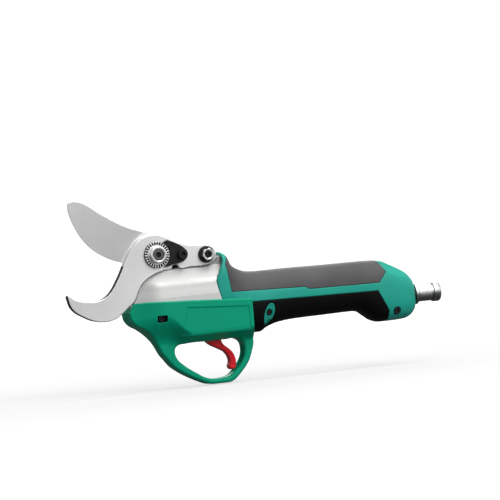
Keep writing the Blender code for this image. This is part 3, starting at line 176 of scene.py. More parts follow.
def mono(table):
    """A smooth curve through a table of (x, value) that never overshoots it."""
    X, V = np.array([p[0] for p in table], float), np.array([p[1] for p in table], float)
    if X[0] > X[-1]:
        X, V = X[::-1], V[::-1]
    h, d = np.diff(X), np.diff(V) / np.diff(X)
    m = np.zeros(len(X))
    m[0], m[-1] = d[0], d[-1]
    same = d[:-1] * d[1:] > 0
    w1, w2 = 2 * h[1:] + h[:-1], h[1:] + 2 * h[:-1]
    inner = np.zeros(len(d) - 1)
    inner[same] = (w1[same] + w2[same]) / (w1[same] / d[:-1][same] + w2[same] / d[1:][same])
    m[1:-1] = inner

    def read(x):
        x = np.clip(np.asarray(x, float), X[0], X[-1])
        i = np.clip(np.searchsorted(X, x, side="right") - 1, 0, len(h) - 1)
        t = (x - X[i]) / h[i]
        return (2 * t**3 - 3 * t**2 + 1) * V[i] + (t**3 - 2 * t**2 + t) * h[i] * m[i] + (-2 * t**3 + 3 * t**2) * V[i + 1] + (t**3 - t**2) * h[i] * m[i + 1]

    return read


def linear(table):
    X, V = np.array([p[0] for p in table], float), np.array([p[1] for p in table], float)
    if X[0] > X[-1]:
        X, V = X[::-1], V[::-1]
    return lambda x: np.interp(np.asarray(x, float), X, V)


# ============================================================================ solids from distance fields
def both(a, b, r):
    """Where both fields are inside, with its edge rounded by r."""
    if np.isscalar(r) and r <= 0:
        return np.maximum(a, b)
    return np.minimum(-r, np.maximum(a, b)) + np.sqrt(np.maximum(a + r, 0) ** 2 + np.maximum(b + r, 0) ** 2)


def either(a, b, r):
    if r <= 0:
        return np.minimum(a, b)
    return np.maximum(r, np.minimum(a, b)) - np.sqrt(np.maximum(r - a, 0) ** 2 + np.maximum(r - b, 0) ** 2)


def without(a, b, r=0.0):
    return both(a, -b, r)


def slab_field(v, lo, hi):
    return np.maximum(lo - v, v - hi)


def path_distance(x, z, line):
    """Distance to an open line of points."""
    x, z = np.broadcast_arrays(x, z)
    out = np.full(x.shape, 1e9)
    for a, b in zip(line, line[1:]):
        out = np.minimum(out, segment(x, z, a, b))
    return out


def tube(u, v, cu, cv, r):
    return np.sqrt((u - cu) ** 2 + (v - cv) ** 2) - r


def segment(x, z, a, b):
    dx, dz = b[0] - a[0], b[1] - a[1]
    t = np.clip(((x - a[0]) * dx + (z - a[1]) * dz) / (dx * dx + dz * dz), 0, 1)
    return np.sqrt((x - a[0] - t * dx) ** 2 + (z - a[1] - t * dz) ** 2)


def hexagon(u, v, cu, cv, flat, turn=0.0):
    """Six-sided prism field with half width flat across its sides."""
    best = None
    for k in range(3):
        a = turn + k * math.pi / 3
        d = np.abs((u - cu) * math.cos(a) + (v - cv) * math.sin(a)) - flat
        best = d if best is None else np.maximum(best, d)
    return best


def raw_mesh(name, verts, faces, normals=None):
    """A mesh from millimetre points and equal-length faces, quickly."""
    mesh = bpy.data.meshes.new(name)
    faces = np.asarray(faces, np.int32)
    k = faces.shape[1]
    mesh.vertices.add(len(verts))
    mesh.vertices.foreach_set("co", ((np.asarray(verts, np.float64) - CENTRE) * MM).astype(np.float32).ravel())
    mesh.loops.add(faces.size)
    mesh.loops.foreach_set("vertex_index", faces.ravel())
    mesh.polygons.add(len(faces))
    mesh.polygons.foreach_set("loop_start", np.arange(0, faces.size, k, dtype=np.int32))
    mesh.polygons.foreach_set("use_smooth", np.ones(len(faces), bool))
    mesh.update(calc_edges=True)
    mesh.validate()
    if normals is not None:
        mesh.normals_split_custom_set_from_vertices([tuple(n) for n in normals])
    return mesh


PIECES = {}


def place(name, mesh, material, body, replaces=(), slot=None):
    obj = bpy.data.objects.new(name, mesh)
    bpy.context.scene.collection.objects.link(obj)
    mesh.materials.append(material)
    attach(obj, body)
    if replaces:
        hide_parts(*replaces)
    PIECES[name] = obj
    return obj


CORNERS = [(i, j, k) for i in (0, 1) for j in (0, 1) for k in (0, 1)]


def skin(name, field, lo, hi, h, material, body, replaces=(), slot=None, mirror=False, passes=3, keep_all=False):
    """The zero surface of field over the box lo..hi in millimetres, found on a grid of step h and then moved on to the exact surface."""
    h = h * FINE
    ax = [np.arange(lo[i] - 1.5 * h, hi[i] + 1.5 * h + 1e-9, h) for i in range(3)]
    X, Y, Z = ax[0][:, None, None], ax[1][None, :, None], ax[2][None, None, :]
    F = np.broadcast_to(field(X, Y, Z), (len(ax[0]), len(ax[1]), len(ax[2]))).astype(np.float64)
    F = np.where(np.abs(F) < 1e-7, 1e-7, F)
    S = F < 0
    n = [s - 1 for s in F.shape]
    c = [S[i : i + n[0], j : j + n[1], k : k + n[2]] for i, j, k in CORNERS]
    any_, all_ = c[0].copy(), c[0].copy()
    for m in c[1:]:
        any_ |= m
        all_ &= m
    cell = any_ & ~all_
    ids = -np.ones(cell.shape, np.int64)
    where = np.argwhere(cell)
    ids[cell] = np.arange(len(where))
    pos, cnt = np.zeros((len(where), 3)), np.zeros(len(where))
    vals = {q: F[where[:, 0] + q[0], where[:, 1] + q[1], where[:, 2] + q[2]] for q in CORNERS}
    for q in CORNERS:
        for d in range(3):
            if q[d]:
                continue
            r = tuple(q[i] + (1 if i == d else 0) for i in range(3))
            a, b = vals[q], vals[r]
            cut = (a < 0) != (b < 0)
            t = np.where(cut, a / np.where(cut, a - b, 1), 0)
            p = np.tile(np.array(q, float), (len(where), 1))
            p[:, d] += t
            pos[cut] += p[cut]
            cnt[cut] += 1
    V = np.array([ax[0][0], ax[1][0], ax[2][0]]) + (where + pos / cnt[:, None]) * h
    quads = []
    for d in range(3):
        e, f = (d + 1) % 3, (d + 2) % 3
        a = [slice(0, None)] * 3
        b = [slice(0, None)] * 3
        a[d], b[d] = slice(0, -1), slice(1, None)
        A, B = S[tuple(a)], S[tuple(b)]
        cut = np.argwhere(A != B)
        ok = (cut[:, e] > 0) & (cut[:, f] > 0) & (cut[:, e] < n[e]) & (cut[:, f] < n[f])
        cut = cut[ok]
        inside_first = A[tuple(cut.T)]

        def at(de, df):
            w = cut.copy()
            w[:, e] -= de
            w[:, f] -= df
            return ids[tuple(w.T)]

        q = np.stack([at(1, 1), at(0, 1), at(0, 0), at(1, 0)], 1)
        q[~inside_first] = q[~inside_first][:, ::-1]
        quads.append(q)
    Q = np.concatenate(quads)
    start = V.copy()

    def grad(P, eps):
        g = np.empty_like(P)
        for i in range(3):
            up, dn = P.copy(), P.copy()
            up[:, i] += eps
            dn[:, i] -= eps
            g[:, i] = (field(*up.T) - field(*dn.T)) / (2 * eps)
        return g

    for _ in range(passes):
        g = grad(V, 0.03)
        f = field(*V.T)
        step = -(f / np.maximum((g * g).sum(1), 0.05))[:, None] * g
        size = np.linalg.norm(step, axis=1, keepdims=True)
        V = V + step * np.minimum(1, 0.4 * h / np.maximum(size, 1e-9))
        away = V - start
        size = np.linalg.norm(away, axis=1, keepdims=True)
        V = start + away * np.minimum(1, 0.8 * h / np.maximum(size, 1e-9))
    N = grad(V, max(0.06, 0.2 * h))
    N /= np.maximum(np.linalg.norm(N, axis=1, keepdims=True), 1e-9)
    if not keep_all:
        # drop specks that are not joined to a sizeable piece
        parent = np.arange(len(V))
        for _ in range(60):
            low = parent[Q].min(1)
            new = parent.copy()
            for k in range(4):
                order = np.argsort(-low, kind="stable")
                new[Q[order, k]] = np.minimum(new[Q[order, k]], low[order])
            new = new[new[new]]
            if (new == parent).all():
                break
            parent = new
        roots, inverse, counts = np.unique(parent, return_inverse=True, return_counts=True)
        good = counts[inverse] > 400
        index = np.cumsum(good) - 1
        Q = index[Q[good[Q[:, 0]]]]
        V, N = V[good], N[good]
    if mirror:
        V, N = V * [1, -1, 1], N * [1, -1, 1]
        Q = Q[:, ::-1]
    return place(name, raw_mesh(name, V, Q, N), material, body, replaces, slot)


def lathe(name, profile, material, body, axis="x", centre=(0, 0, 0), n=96, replaces=(), slot=None, wave=None, sharp=30):
    """A turned solid from a closed loop of (along, radius); wave(angle, along) adds to the radius."""
    prof = [p for p in profile]
    verts, k = [], len(prof)
    for i in range(n):
        a = 2 * math.pi * i / n
        for s, r in prof:
            if wave and r > 0.5:
                r = r + wave(a, s, r)
            u, v = r * math.cos(a), r * math.sin(a)
            verts.append((s + centre[0], u + centre[1], v + centre[2]) if axis == "x" else (v + centre[0], s + centre[1], u + centre[2]))
    faces = []
    for i in range(n):
        j = (i + 1) % n
        for t in range(k):
            t2 = (t + 1) % k
            if prof[t][1] < 1e-6 and prof[t2][1] < 1e-6:
                continue
            faces.append((i * k + t, j * k + t, j * k + t2, i * k + t2))
    import bmesh
    bm = bmesh.new()
    vs = [bm.verts.new((Vector(v) - Vector(CENTRE)) * MM) for v in verts]
    for f in faces:
        bm.faces.new([vs[q] for q in f])
    bmesh.ops.remove_doubles(bm, verts=bm.verts, dist=1e-7)
    bmesh.ops.recalc_face_normals(bm, faces=bm.faces)
    mesh = bpy.data.meshes.new(name)
    bm.to_mesh(mesh)
    bm.free()
    mesh.shade_smooth()
    mesh.set_sharp_from_angle(angle=math.radians(sharp))
    return place(name, mesh, material, body, replaces, slot)


def plate(name, loops, near, far, material, body, r_near=0.3, r_far=0.3, grid=2.5, creases=(), replaces=(), slot=None, segs=4, sharp=28):
    """A flat piece between y = near(x, z) and y = far(x, z), with rounded rims and crisp creases along given lines."""
    near_fn = near if callable(near) else (lambda x, z: np.full_like(x, near))
    far_fn = far if callable(far) else (lambda x, z: np.full_like(x, far))
    loops = [ccw(loops[0])] + [ccw(h)[::-1] for h in loops[1:]]
    pts, edges = [], []

    def ring(loop, closed=True):
        base = len(pts)
        pts.extend(loop)
        edges.extend((base + i, base + (i + 1) % len(loop)) for i in range(len(loop) if closed else len(loop) - 1))

    for loop in loops:
        ring(loop)
    rmax = max(r_near, r_far)
    for loop in loops:
        for s in range(1, segs + 1):
            ring(inset(loop, rmax * (1 - math.cos(math.pi / 2 * s / segs))))
        ring(inset(loop, rmax + 0.1))
    for line in creases:
        ring(list(line), closed=False)
    P = np.array(loops[0])
    gx, gz = np.meshgrid(np.arange(P[:, 0].min(), P[:, 0].max(), grid), np.arange(P[:, 1].min(), P[:, 1].max(), grid))
    gx = gx + (np.arange(gx.shape[0]) % 2)[:, None] * grid / 2

    def region(x, z):
        d = sd_poly(x, z, loops[0])
        for hole in loops[1:]:
            d = np.maximum(d, -sd_poly(x, z, hole))
        return d

    keep = region(gx, gz) < -(rmax + 0.3 * grid)
    pts.extend(zip(gx[keep].tolist(), gz[keep].tolist()))
    got = delaunay_2d_cdt(pts, edges, [], 0, 1e-6)
    v2 = np.array([tuple(v) for v in got[0]])
    tris = np.array([f if area([tuple(v2[i]) for i in f]) > 0 else f[::-1] for f in got[2]], int)
    mid = v2[tris].mean(1)
    tris = tris[region(mid[:, 0], mid[:, 1]) < 0]
    used, inv = np.unique(tris, return_inverse=True)
    tris, v2 = inv.reshape(tris.shape), v2[used]
    d = -region(v2[:, 0], v2[:, 1])

    def roll(r):
        q = np.clip(r - d, 0, r)
        return r - np.sqrt(np.maximum(r * r - q * q, 0)) if r > 0 else 0 * d

    yn = near_fn(v2[:, 0], v2[:, 1]) + roll(r_near)
    yf = far_fn(v2[:, 0], v2[:, 1]) - roll(r_far)
    n = len(v2)
    V = np.concatenate([np.stack([v2[:, 0], yn, v2[:, 1]], 1), np.stack([v2[:, 0], yf, v2[:, 1]], 1)])
    T = [tuple(t) for t in tris] + [tuple(t[::-1] + n) for t in tris]
    half = {(a, b) for t in tris.tolist() for a, b in zip(t, t[1:] + t[:1])}
    T += [(b, a, a + n) for a, b in half if (b, a) not in half] + [(b, a + n, b + n) for a, b in half if (b, a) not in half]
    mesh = raw_mesh(name, V, T)
    mesh.set_sharp_from_angle(angle=math.radians(sharp))
    return place(name, mesh, material, body, replaces, slot)


# ============================================================================ materials
def new_material(name):
    m = bpy.data.materials.new(name)
    m.use_nodes = True
    nt = m.node_tree
    return m, nt, nt.nodes["Principled BSDF"]


def noise(nt, scale, detail=3.0, rough=0.55, vec=None, stretch=None):
    if vec is None:
        vec = nt.nodes.new("ShaderNodeTexCoord").outputs["Object"]
    mp = nt.nodes.new("ShaderNodeMapping")
    nt.links.new(vec, mp.inputs["Vector"])
    mp.inputs["Scale"].default_value = stretch or (1, 1, 1)
    n = nt.nodes.new("ShaderNodeTexNoise")
    n.inputs["Scale"].default_value = scale
    n.inputs["Detail"].default_value = detail
    n.inputs["Roughness"].default_value = rough
    nt.links.new(mp.outputs["Vector"], n.inputs["Vector"])
    return n.outputs["Fac"]


def remap(nt, value, a, b, lo, hi):
    m = nt.nodes.new("ShaderNodeMapRange")
    m.inputs["From Min"].default_value, m.inputs["From Max"].default_value = a, b
    m.inputs["To Min"].default_value, m.inputs["To Max"].default_value = lo, hi
    nt.links.new(value, m.inputs["Value"])
    return m.outputs["Result"]


def mix(nt, fac, a, b, kind="MIX"):
    m = nt.nodes.new("ShaderNodeMix")
    m.data_type = "RGBA"
    m.blend_type = kind
    for s, v in ((m.inputs[0], fac), (m.inputs[6], a), (m.inputs[7], b)):
        if hasattr(v, "is_linked"):
            nt.links.new(v, s)
        else:
            s.default_value = v if not isinstance(v, tuple) else (*v[:3], 1)
    return m.outputs[2]


def bump(nt, height, strength, distance, normal=None):
    b = nt.nodes.new("ShaderNodeBump")
    b.inputs["Strength"].default_value = strength
    b.inputs["Distance"].default_value = distance * MM
    nt.links.new(height, b.inputs["Height"])
    if normal is not None:
        nt.links.new(normal, b.inputs["Normal"])
    return b.outputs["Normal"]


def scaled(c, k):
    return tuple(min(1.0, max(0.0, v * k)) for v in c)


def along(nt, a, b, k0, k1):
    """A value that runs from k0 at a to k1 at b, two points of the side view in millimetres from the blade's pivot."""
    pos = nt.nodes.new("ShaderNodeTexCoord").outputs["Object"]
    dot = nt.nodes.new("ShaderNodeVectorMath")
    dot.operation = "DOT_PRODUCT"
    nt.links.new(pos, dot.inputs[0])
    d = Vector((b[0] - a[0], 0, b[1] - a[1]))
    dot.inputs[1].default_value = d
    start = d.dot(Vector((a[0] - CENTRE[0], 0, a[1] - CENTRE[2]))) * MM
    return remap(nt, dot.outputs["Value"], start, start + d.length_squared * MM, k0, k1)


def metal(name, base, rough, streak=None, grain=900, depth=0.02, metallic=1.0, var=0.06, spots=0.0, fade=None, spec=0.5):
    """Machined or cast metal: directional or isotropic fine grain, cloudy roughness, a painted highlight on convex
    edges and, with fade, a painted light-and-shade ramp along a line in side view.
    """
    m, nt, b = new_material(name)
    fine = noise(nt, grain, 4.0, 0.6, stretch=streak)
    broad = noise(nt, 35, 3.0, 0.5)
    colour = mix(nt, remap(nt, broad, 0.3, 0.7, 0, 1), scaled(base, 1 - var), scaled(base, 1 + var))
    colour = mix(nt, remap(nt, fine, 0.35, 0.65, 0, 0.35), colour, scaled(base, 0.82))
    # painted highlight: convex edges (high pointiness) are mixed towards a brighter copy of the base colour
    geo = nt.nodes.new("ShaderNodeNewGeometry")
    edge = remap(nt, geo.outputs["Pointiness"], 0.53, 0.62, 0, 0.5)
    colour = mix(nt, edge, colour, scaled(base, 1.25))
    # painted light and shade: fade multiplies the colour by a ramp between two side-view points, standing in for how
    # the light falls across the part
    if fade:
        grey = nt.nodes.new("ShaderNodeCombineColor")
        value = along(nt, *fade)
        for k in range(3):
            nt.links.new(value, grey.inputs[k])
        colour = mix(nt, 1.0, colour, grey.outputs[0], "MULTIPLY")
    if spots:
        pit = noise(nt, 420, 2.0, 0.5)
        colour = mix(nt, remap(nt, pit, 0.62, 0.72, 0, spots), colour, scaled(base, 0.55))
    nt.links.new(colour, b.inputs["Base Color"])
    b.inputs["Metallic"].default_value = metallic
    b.inputs["Specular IOR Level"].default_value = spec
    r1 = remap(nt, fine, 0.3, 0.7, rough - 0.07, rough + 0.07)
    add = nt.nodes.new("ShaderNodeMath")
    add.operation = "ADD"
    nt.links.new(r1, add.inputs[0])
    nt.links.new(remap(nt, broad, 0.3, 0.7, -0.04, 0.05), add.inputs[1])
    nt.links.new(add.outputs[0], b.inputs["Roughness"])
    nt.links.new(bump(nt, fine, 0.35, depth), b.inputs["Normal"])
    return m


def plastic(name, base, rough, grain=1500, depth=0.03, var=0.05, coat=0.0, spec=0.18):
    """Moulded plastic: spark-eroded grain, faint flow clouding, a painted highlight on convex edges broken up by noise,
    painted shade in creases, and a light bloom.
    """
    m, nt, b = new_material(name)
    fine = noise(nt, grain, 2.0, 0.5)
    broad = noise(nt, 22, 4.0, 0.55)
    colour = mix(nt, remap(nt, broad, 0.3, 0.7, 0, 1), scaled(base, 1 - var), scaled(base, 1 + var))
    colour = mix(nt, remap(nt, fine, 0.4, 0.7, 0, 0.25), colour, scaled(base, 0.86))
    geo = nt.nodes.new("ShaderNodeNewGeometry")
    # painted highlight: convex edges (high pointiness), broken up by noise, are mixed towards a lighter copy of the
    # base colour
    edge_highlight = nt.nodes.new("ShaderNodeMath")
    edge_highlight.operation = "MULTIPLY"
    nt.links.new(remap(nt, geo.outputs["Pointiness"], 0.52, 0.60, 0, 0.30), edge_highlight.inputs[0])
    nt.links.new(remap(nt, noise(nt, 260, 3.0, 0.6), 0.42, 0.62, 0.25, 1), edge_highlight.inputs[1])
    highlight_colour = tuple(min(1.0, 0.85 * c + 0.03) for c in scaled(base, 1.35))
    colour = mix(nt, edge_highlight.outputs[0], colour, highlight_colour)
    # painted shade: hollows and creases (low pointiness) are darkened towards half the base colour
    crease_shade = remap(nt, geo.outputs["Pointiness"], 0.47, 0.40, 0, 0.5)
    colour = mix(nt, crease_shade, colour, scaled(base, 0.5))
    nt.links.new(colour, b.inputs["Base Color"])
    b.inputs["Specular IOR Level"].default_value = spec
    nt.links.new(remap(nt, broad, 0.25, 0.75, rough - 0.05, rough + 0.07), b.inputs["Roughness"])
    b.inputs["Coat Weight"].default_value = coat
    b.inputs["Coat Roughness"].default_value = 0.25
    nt.links.new(bump(nt, fine, 0.4, depth), b.inputs["Normal"])
    return m


def rubber(name, base, rough, cell=1100, depth=0.06, sheen=0.15, spec=0.25):
    """Soft over-moulding: a fine leather-like cell pattern under a dusty, matt skin, with a painted highlight on convex
    edges.
    """
    m, nt, b = new_material(name)
    tc = nt.nodes.new("ShaderNodeTexCoord").outputs["Object"]
    v = nt.nodes.new("ShaderNodeTexVoronoi")
    v.inputs["Scale"].default_value = cell
    nt.links.new(tc, v.inputs["Vector"])
    broad = noise(nt, 30, 4.0, 0.6)
    dust = noise(nt, 700, 3.0, 0.7)
    colour = mix(nt, remap(nt, broad, 0.3, 0.7, 0, 1), scaled(base, 0.85), scaled(base, 1.18))
    colour = mix(nt, remap(nt, dust, 0.55, 0.75, 0, 0.35), colour, tuple(c + 0.02 for c in scaled(base, 1.5)))
    geo = nt.nodes.new("ShaderNodeNewGeometry")
    # painted highlight: convex edges (high pointiness) are mixed towards a lighter copy of the base colour
    colour = mix(nt, remap(nt, geo.outputs["Pointiness"], 0.52, 0.6, 0, 0.4), colour, tuple(c + 0.012 for c in scaled(base, 1.5)))
    nt.links.new(colour, b.inputs["Base Color"])
    nt.links.new(remap(nt, dust, 0.3, 0.7, rough - 0.06, rough + 0.06), b.inputs["Roughness"])
    b.inputs["Specular IOR Level"].default_value = spec
    b.inputs["Sheen Weight"].default_value = sheen
    b.inputs["Sheen Roughness"].default_value = 0.5
    n1 = bump(nt, v.outputs["Distance"], 0.45, depth)
    nt.links.new(bump(nt, dust, 0.2, 0.03, n1), b.inputs["Normal"])
    return m


MAT = {
    # painted shade: the blade's colour is multiplied down to 0.84 from its tip towards its heel, a painted fall of
    # light
    "blade_steel": metal("ground_blade_steel", (0.74, 0.74, 0.745), 0.42, streak=(1.0, 1.0, 0.10), grain=2600, depth=0.004, metallic=0.62, var=0.02, fade=((-58.0, 46.0), (-14.0, 2.0), 1.0, 0.84)),
    "hub_steel": metal("polished_hub_steel", (0.95, 0.95, 0.95), 0.34, grain=1500, depth=0.006, metallic=0.6, var=0.02),
    "dark_edge": metal("ground_edge_in_shade", (0.016, 0.016, 0.017), 0.45, grain=1500, depth=0.006, metallic=0.5, spec=0.1),
    "recess_steel": metal("turned_recess_steel", (0.155, 0.155, 0.16), 0.50, grain=900, depth=0.05, var=0.25, spots=0.8),
    "notch_shade": metal("painted_shade_flange_notches", (0.020, 0.020, 0.021), 0.50, grain=1200, depth=0.01, metallic=0.4, spec=0.1),
    # painted light: the counter blade's colour rises from 0.86 on its left to full on its right, a painted gradient of
    # the light across it
    "hook_steel": metal("satin_hook_steel", (0.97, 0.97, 0.97), 0.42, grain=1100, depth=0.014, metallic=0.6, var=0.03, fade=((-44.0, -14.0), (-6.0, -30.0), 0.86, 1.0)),
    "machined_steel": metal("machined_steel", (0.62, 0.62, 0.63), 0.28, streak=(3, 1, 1), grain=600, depth=0.008),
    # painted shade: the head casting's colour is halved towards its top shoulder, standing in for the shade on the
    # shoulder under the counter blade
    "cast_aluminium": metal("satin_head_casting", (0.80, 0.795, 0.785), 0.46, grain=2200, depth=0.012, metallic=0.40, var=0.02, fade=((0.0, -13.0), (0.0, -28.0), 0.50, 1.0)),
    # painted shade: the connector's colour falls to 0.22 on its underside, standing in for the shaded lower half of the
    # round barrel
    "connector_metal": metal("knurled_connector_steel", (0.90, 0.90, 0.90), 0.30, grain=1200, depth=0.02, var=0.10, fade=((0.0, -46.5), (0.0, -54.0), 1.0, 0.22)),
    "black_steel": metal("black_oxide_steel", (0.014, 0.014, 0.015), 0.40, grain=1500, depth=0.02, metallic=0.35, var=0.15, spec=0.35),
    "bright_fastener": metal("bright_zinc_steel", (0.93, 0.93, 0.93), 0.24, grain=1800, depth=0.006, var=0.03),
    "bronze": metal("sintered_bronze", (0.55, 0.36, 0.16), 0.38, grain=2500, depth=0.02, spots=0.4),
    "green_plastic": plastic("green_guard_nylon", (0.0005, 0.385, 0.218), 0.40, depth=0.022, spec=0.14),
    "teal_plastic": plastic("teal_shell_nylon", (0.016, 0.420, 0.322), 0.36, depth=0.020, spec=0.30),
    "grey_rubber": rubber("grey_soft_grip", (0.098, 0.094, 0.097), 0.62, cell=900, sheen=0.04),
    "black_rubber": rubber("black_soft_grip", (0.0030, 0.0030, 0.0032), 0.58, cell=900, sheen=0.0, spec=0.12),
    "red_plastic": plastic("red_trigger_plastic", (0.82, 0.020, 0.030), 0.30, depth=0.010, coat=0.15),
    "black_plastic": plastic("black_moulded_plastic", (0.008, 0.008, 0.009), 0.45),
    "circuit_board": plastic("solder_mask_green", (0.008, 0.11, 0.045), 0.32, grain=600, depth=0.02),
    "copper_winding": metal("copper_winding", (0.62, 0.25, 0.11), 0.35, streak=(6, 1, 1), grain=900, depth=0.06),
    "magnet": metal("nickel_plate", (0.60, 0.60, 0.58), 0.25, grain=1200, depth=0.005),
}


# ============================================================================ the design tables, in millimetres from the blade pivot
SCREW_Z = -39.6
BLADE_HALF, HOOK_Y = 2.0, (-7.3, -2.4)
LEVER, OPEN_DEG, SLOT_X = 40.0, 25.0, -17.035
GUARD_HALF, GUARD_WALL, LOOP_HALF = 19.4, 1.5, 6.5
TRIGGER_PIVOT, CONN_Z, REAR_X, SEAM, PAD = (37.5, -61.5), -50.0, 204.0, 0.06, 1.4
PIN_X = -LEVER * math.sin(math.radians(OPEN_DEG))
PIN_Z = -LEVER * math.cos(math.radians(OPEN_DEG))
EDGE = [(-16.0, -6.6), (-26.3, -3.1), (-31.9, -1.2), (-37.4, 1.4), (-43.5, 5.0), (-48.9, 9.3), (-53.4, 14.1), (-57.8, 20.6), (-61.3, 27.7), (-63.8, 34.8), (-64.6, 41.5)]
BLADE = [
    (-15.0, -7.6, "c"), *EDGE[1:10], (-64.7, 40.5), (-63.9, 44.6), (-61.3, 45.9), (-57.6, 45.5), (-53.7, 44.1), (-48.2, 41.0), (-43.6, 37.4),
    (-38.2, 33.6), (-32.8, 30.1), (-26.7, 26.4), (-19.8, 22.7), (-12.8, 19.9), (-5.0, 17.3), (4.0, 15.8), (11.5, 11.4), (15.6, 3.5), (13.8, -6.0), (7.0, -12.5),
    (0.5, -17.5), (-6.2, -26.5), (PIN_X + 5.4, PIN_Z - 2.5), (PIN_X + 3.0, PIN_Z - 5.6), (PIN_X - 2.5, PIN_Z - 5.9), (PIN_X - 6.0, PIN_Z - 1.5), (PIN_X - 5.9, PIN_Z + 3.0), (-17.3, -22.5), (-14.5, -14.0),
]
HOOK = [
    (-74.6, -23.6), (-74.3, -28.8), (-71.9, -33.7), (-68.3, -36.8), (-61.5, -40.9), (-55.4, -44.0), (-49.0, -45.7), (-41.8, -45.9), (-35.8, -44.3), (-30.3, -40.8),
    (-25.5, -36.9), (-20.3, -33.0), (-17.2, -27.2), (-12.7, -20.2), (-7.2, -16.4), (-0.4, -13.6), (5.6, -12.1), (11.5, -11.3), (12.6, -9.3), (16.2, -9.3), (17.0, -11.0),
    (27.0, -11.5), (37.6, -11.6), (42.4, -10.6), (46.6, -7.4), (47.9, -3.2), (46.0, 1.3), (40.8, 3.9), (32.0, 4.3), (25.2, 5.3), (16.0, 8.8), (9.5, 12.2), (4.0, 14.6), (-1.5, 15.4), (-7.4, 14.6),
    (-14.2, 11.1), (-20.1, 5.0), (-24.4, -1.5), (-27.3, -6.5), (-30.0, -11.5), (-33.4, -17.0), (-36.9, -22.0), (-40.3, -25.6), (-44.2, -28.1), (-48.7, -29.6), (-54.5, -30.0), (-61.7, -28.9), (-67.3, -27.3), (-72.6, -24.6),
]
REAR_BOLT = (39.6, -3.4)
LOCK_BOLT = (19.6, -1.4)
COVER = [
    (-23.9, -36.6, "c"), (-21.4, -34.0, "c"), (-20.0, -32.0), (-17.6, -27.3), (-12.2, -20.2), (-6.8, -16.4), (-0.2, -13.6), (5.8, -12.2), (17.0, -11.6), (30.0, -11.7), (38.0, -11.9), (43.4, -10.6), (48.0, -6.6), (50.0, -5.0, "c"),
    (52.5, -5.0, "c"), (52.5, -51.5, "c"), (38.0, -53.5, "c"), (-9.0, -53.5, "c"), (-18.4, -50.7, "c"), (-22.9, -46.3, "c"), (-24.1, -41.3, "c"),
]
FRAME_LOW = [
    (-24.0, -31.3, "c"), (-22.0, -31.3, "c"), (-17.0, -24.0), (-13.0, -16.8), (-6.0, -13.2), (5.0, -11.7), (14.0, -11.7), (30.0, -11.7), (44.0, -11.0), (49.0, -5.0, "c"), (52.5, -5.0, "c"),
    (52.5, -51.5, "c"), (38.0, -53.5, "c"), (-9.0, -53.5, "c"), (-18.4, -50.7, "c"), (-22.9, -46.3, "c"), (-24.1, -41.3, "c"),
]
LUG = [(-13.6, 1.0), (-10.4, 8.8), (-3.5, 13.2), (4.0, 12.9), (12.0, 9.2), (22.0, 5.0), (33.0, 3.6), (41.0, 2.9), (45.6, -0.2), (47.2, -5.0), (46.0, -14.0, "c"), (10.0, -20.0, "c"), (-16.0, -24.0, "c"), (-14.6, -10.0)]
WEB = [(17.6, 6.2), (22.0, 4.6), (33.0, 3.2), (41.0, 2.5), (45.2, -0.4), (46.6, -5.0), (46.0, -14.0), (16.5, -14.0), (17.5, -5.0), (18.0, 0.0)]
ZTOP = [(42, -3.0), (49, -2.4), (52, -2.8), (54.5, -4.6), (56.8, -10.4), (60, -14.0), (66, -17.4), (72, -19.3), (82, -20.0), (97, -20.0), (133, -20.6), (170, -21.1), (178, -21.6), (186, -25.2), (193, -28.9), (199, -32.6), (204, -38.2), (209, -44.0)]
ZBOT = [(42, -52.3), (52, -52.6), (56, -54.0), (60, -56.6), (66, -61.6), (70, -64.4), (75, -65.9), (78, -65.9), (83, -63.3), (93, -60.2), (107, -58.8), (131, -58.4), (154, -58.1), (160, -59.0), (166, -63.0), (171, -66.6), (176, -68.2), (184, -68.2), (195, -67.7), (200, -66.0), (204, -62.4), (209, -57.0)]
HALF = [(42, 16.2), (46, 16.8), (50, 17.2), (55, 17.4), (72, 17.5), (80, 17.9), (100, 17.8), (130, 17.6), (160, 17.8), (172, 18.4), (184, 18.6), (193, 17.4), (199, 15.2), (204, 11.6), (209, 9.0)]
POWER = [(42, 3.2), (60, 2.7), (80, 2.4), (150, 2.4), (172, 2.8), (186, 3.2), (209, 3.0)]
UPPER = [(42, -33.0), (113.2, -35.4), (116.4, -37.4), (209, -38.8)]
LOWER = [(42, -42.0), (70, -42.1), (171, -44.0), (209, -44.6)]
END_SCREW = (186.0, -60.8)
GRIP_SCREW = (81.6, -52.6)
GUARD = [
    (-22.9, -34.0, "c"), (17.8, -36.0, "c"), (45.6, -37.8, "c"), (69.2, -39.4, "c"), (68.8, -62.0, "c"), (71.6, -67.9), (71.9, -73.5), (70.0, -79.5), (66.8, -86.6), (61.4, -93.2), (54.8, -99.2, "c"),
    (51.0, -100.8), (43.1, -101.0), (33.8, -100.6), (26.7, -97.8), (19.6, -94.2), (11.8, -89.4), (5.8, -84.6), (2.0, -79.8), (-1.6, -75.0), (-4.4, -69.4), (-7.6, -63.8), (-11.8, -58.4),
    (-16.3, -54.7), (-21.8, -51.4), (-25.1, -47.2), (-26.1, -41.4, "c"),
]
FINGER = [
    (10.9, -69.6), (17.4, -68.6), (35.0, -68.5), (49.0, -68.5), (58.6, -68.6), (62.8, -71.4), (64.2, -77.2), (63.2, -82.6), (60.4, -87.4), (55.4, -92.6), (50.6, -96.0), (45.0, -96.9), (36.5, -97.0), (31.4, -95.6), (23.6, -91.0),
    (15.4, -85.2), (9.8, -79.4), (8.3, -74.6), (9.0, -71.2),
]
GUARD_SCREW = (-3.6, -48.0)
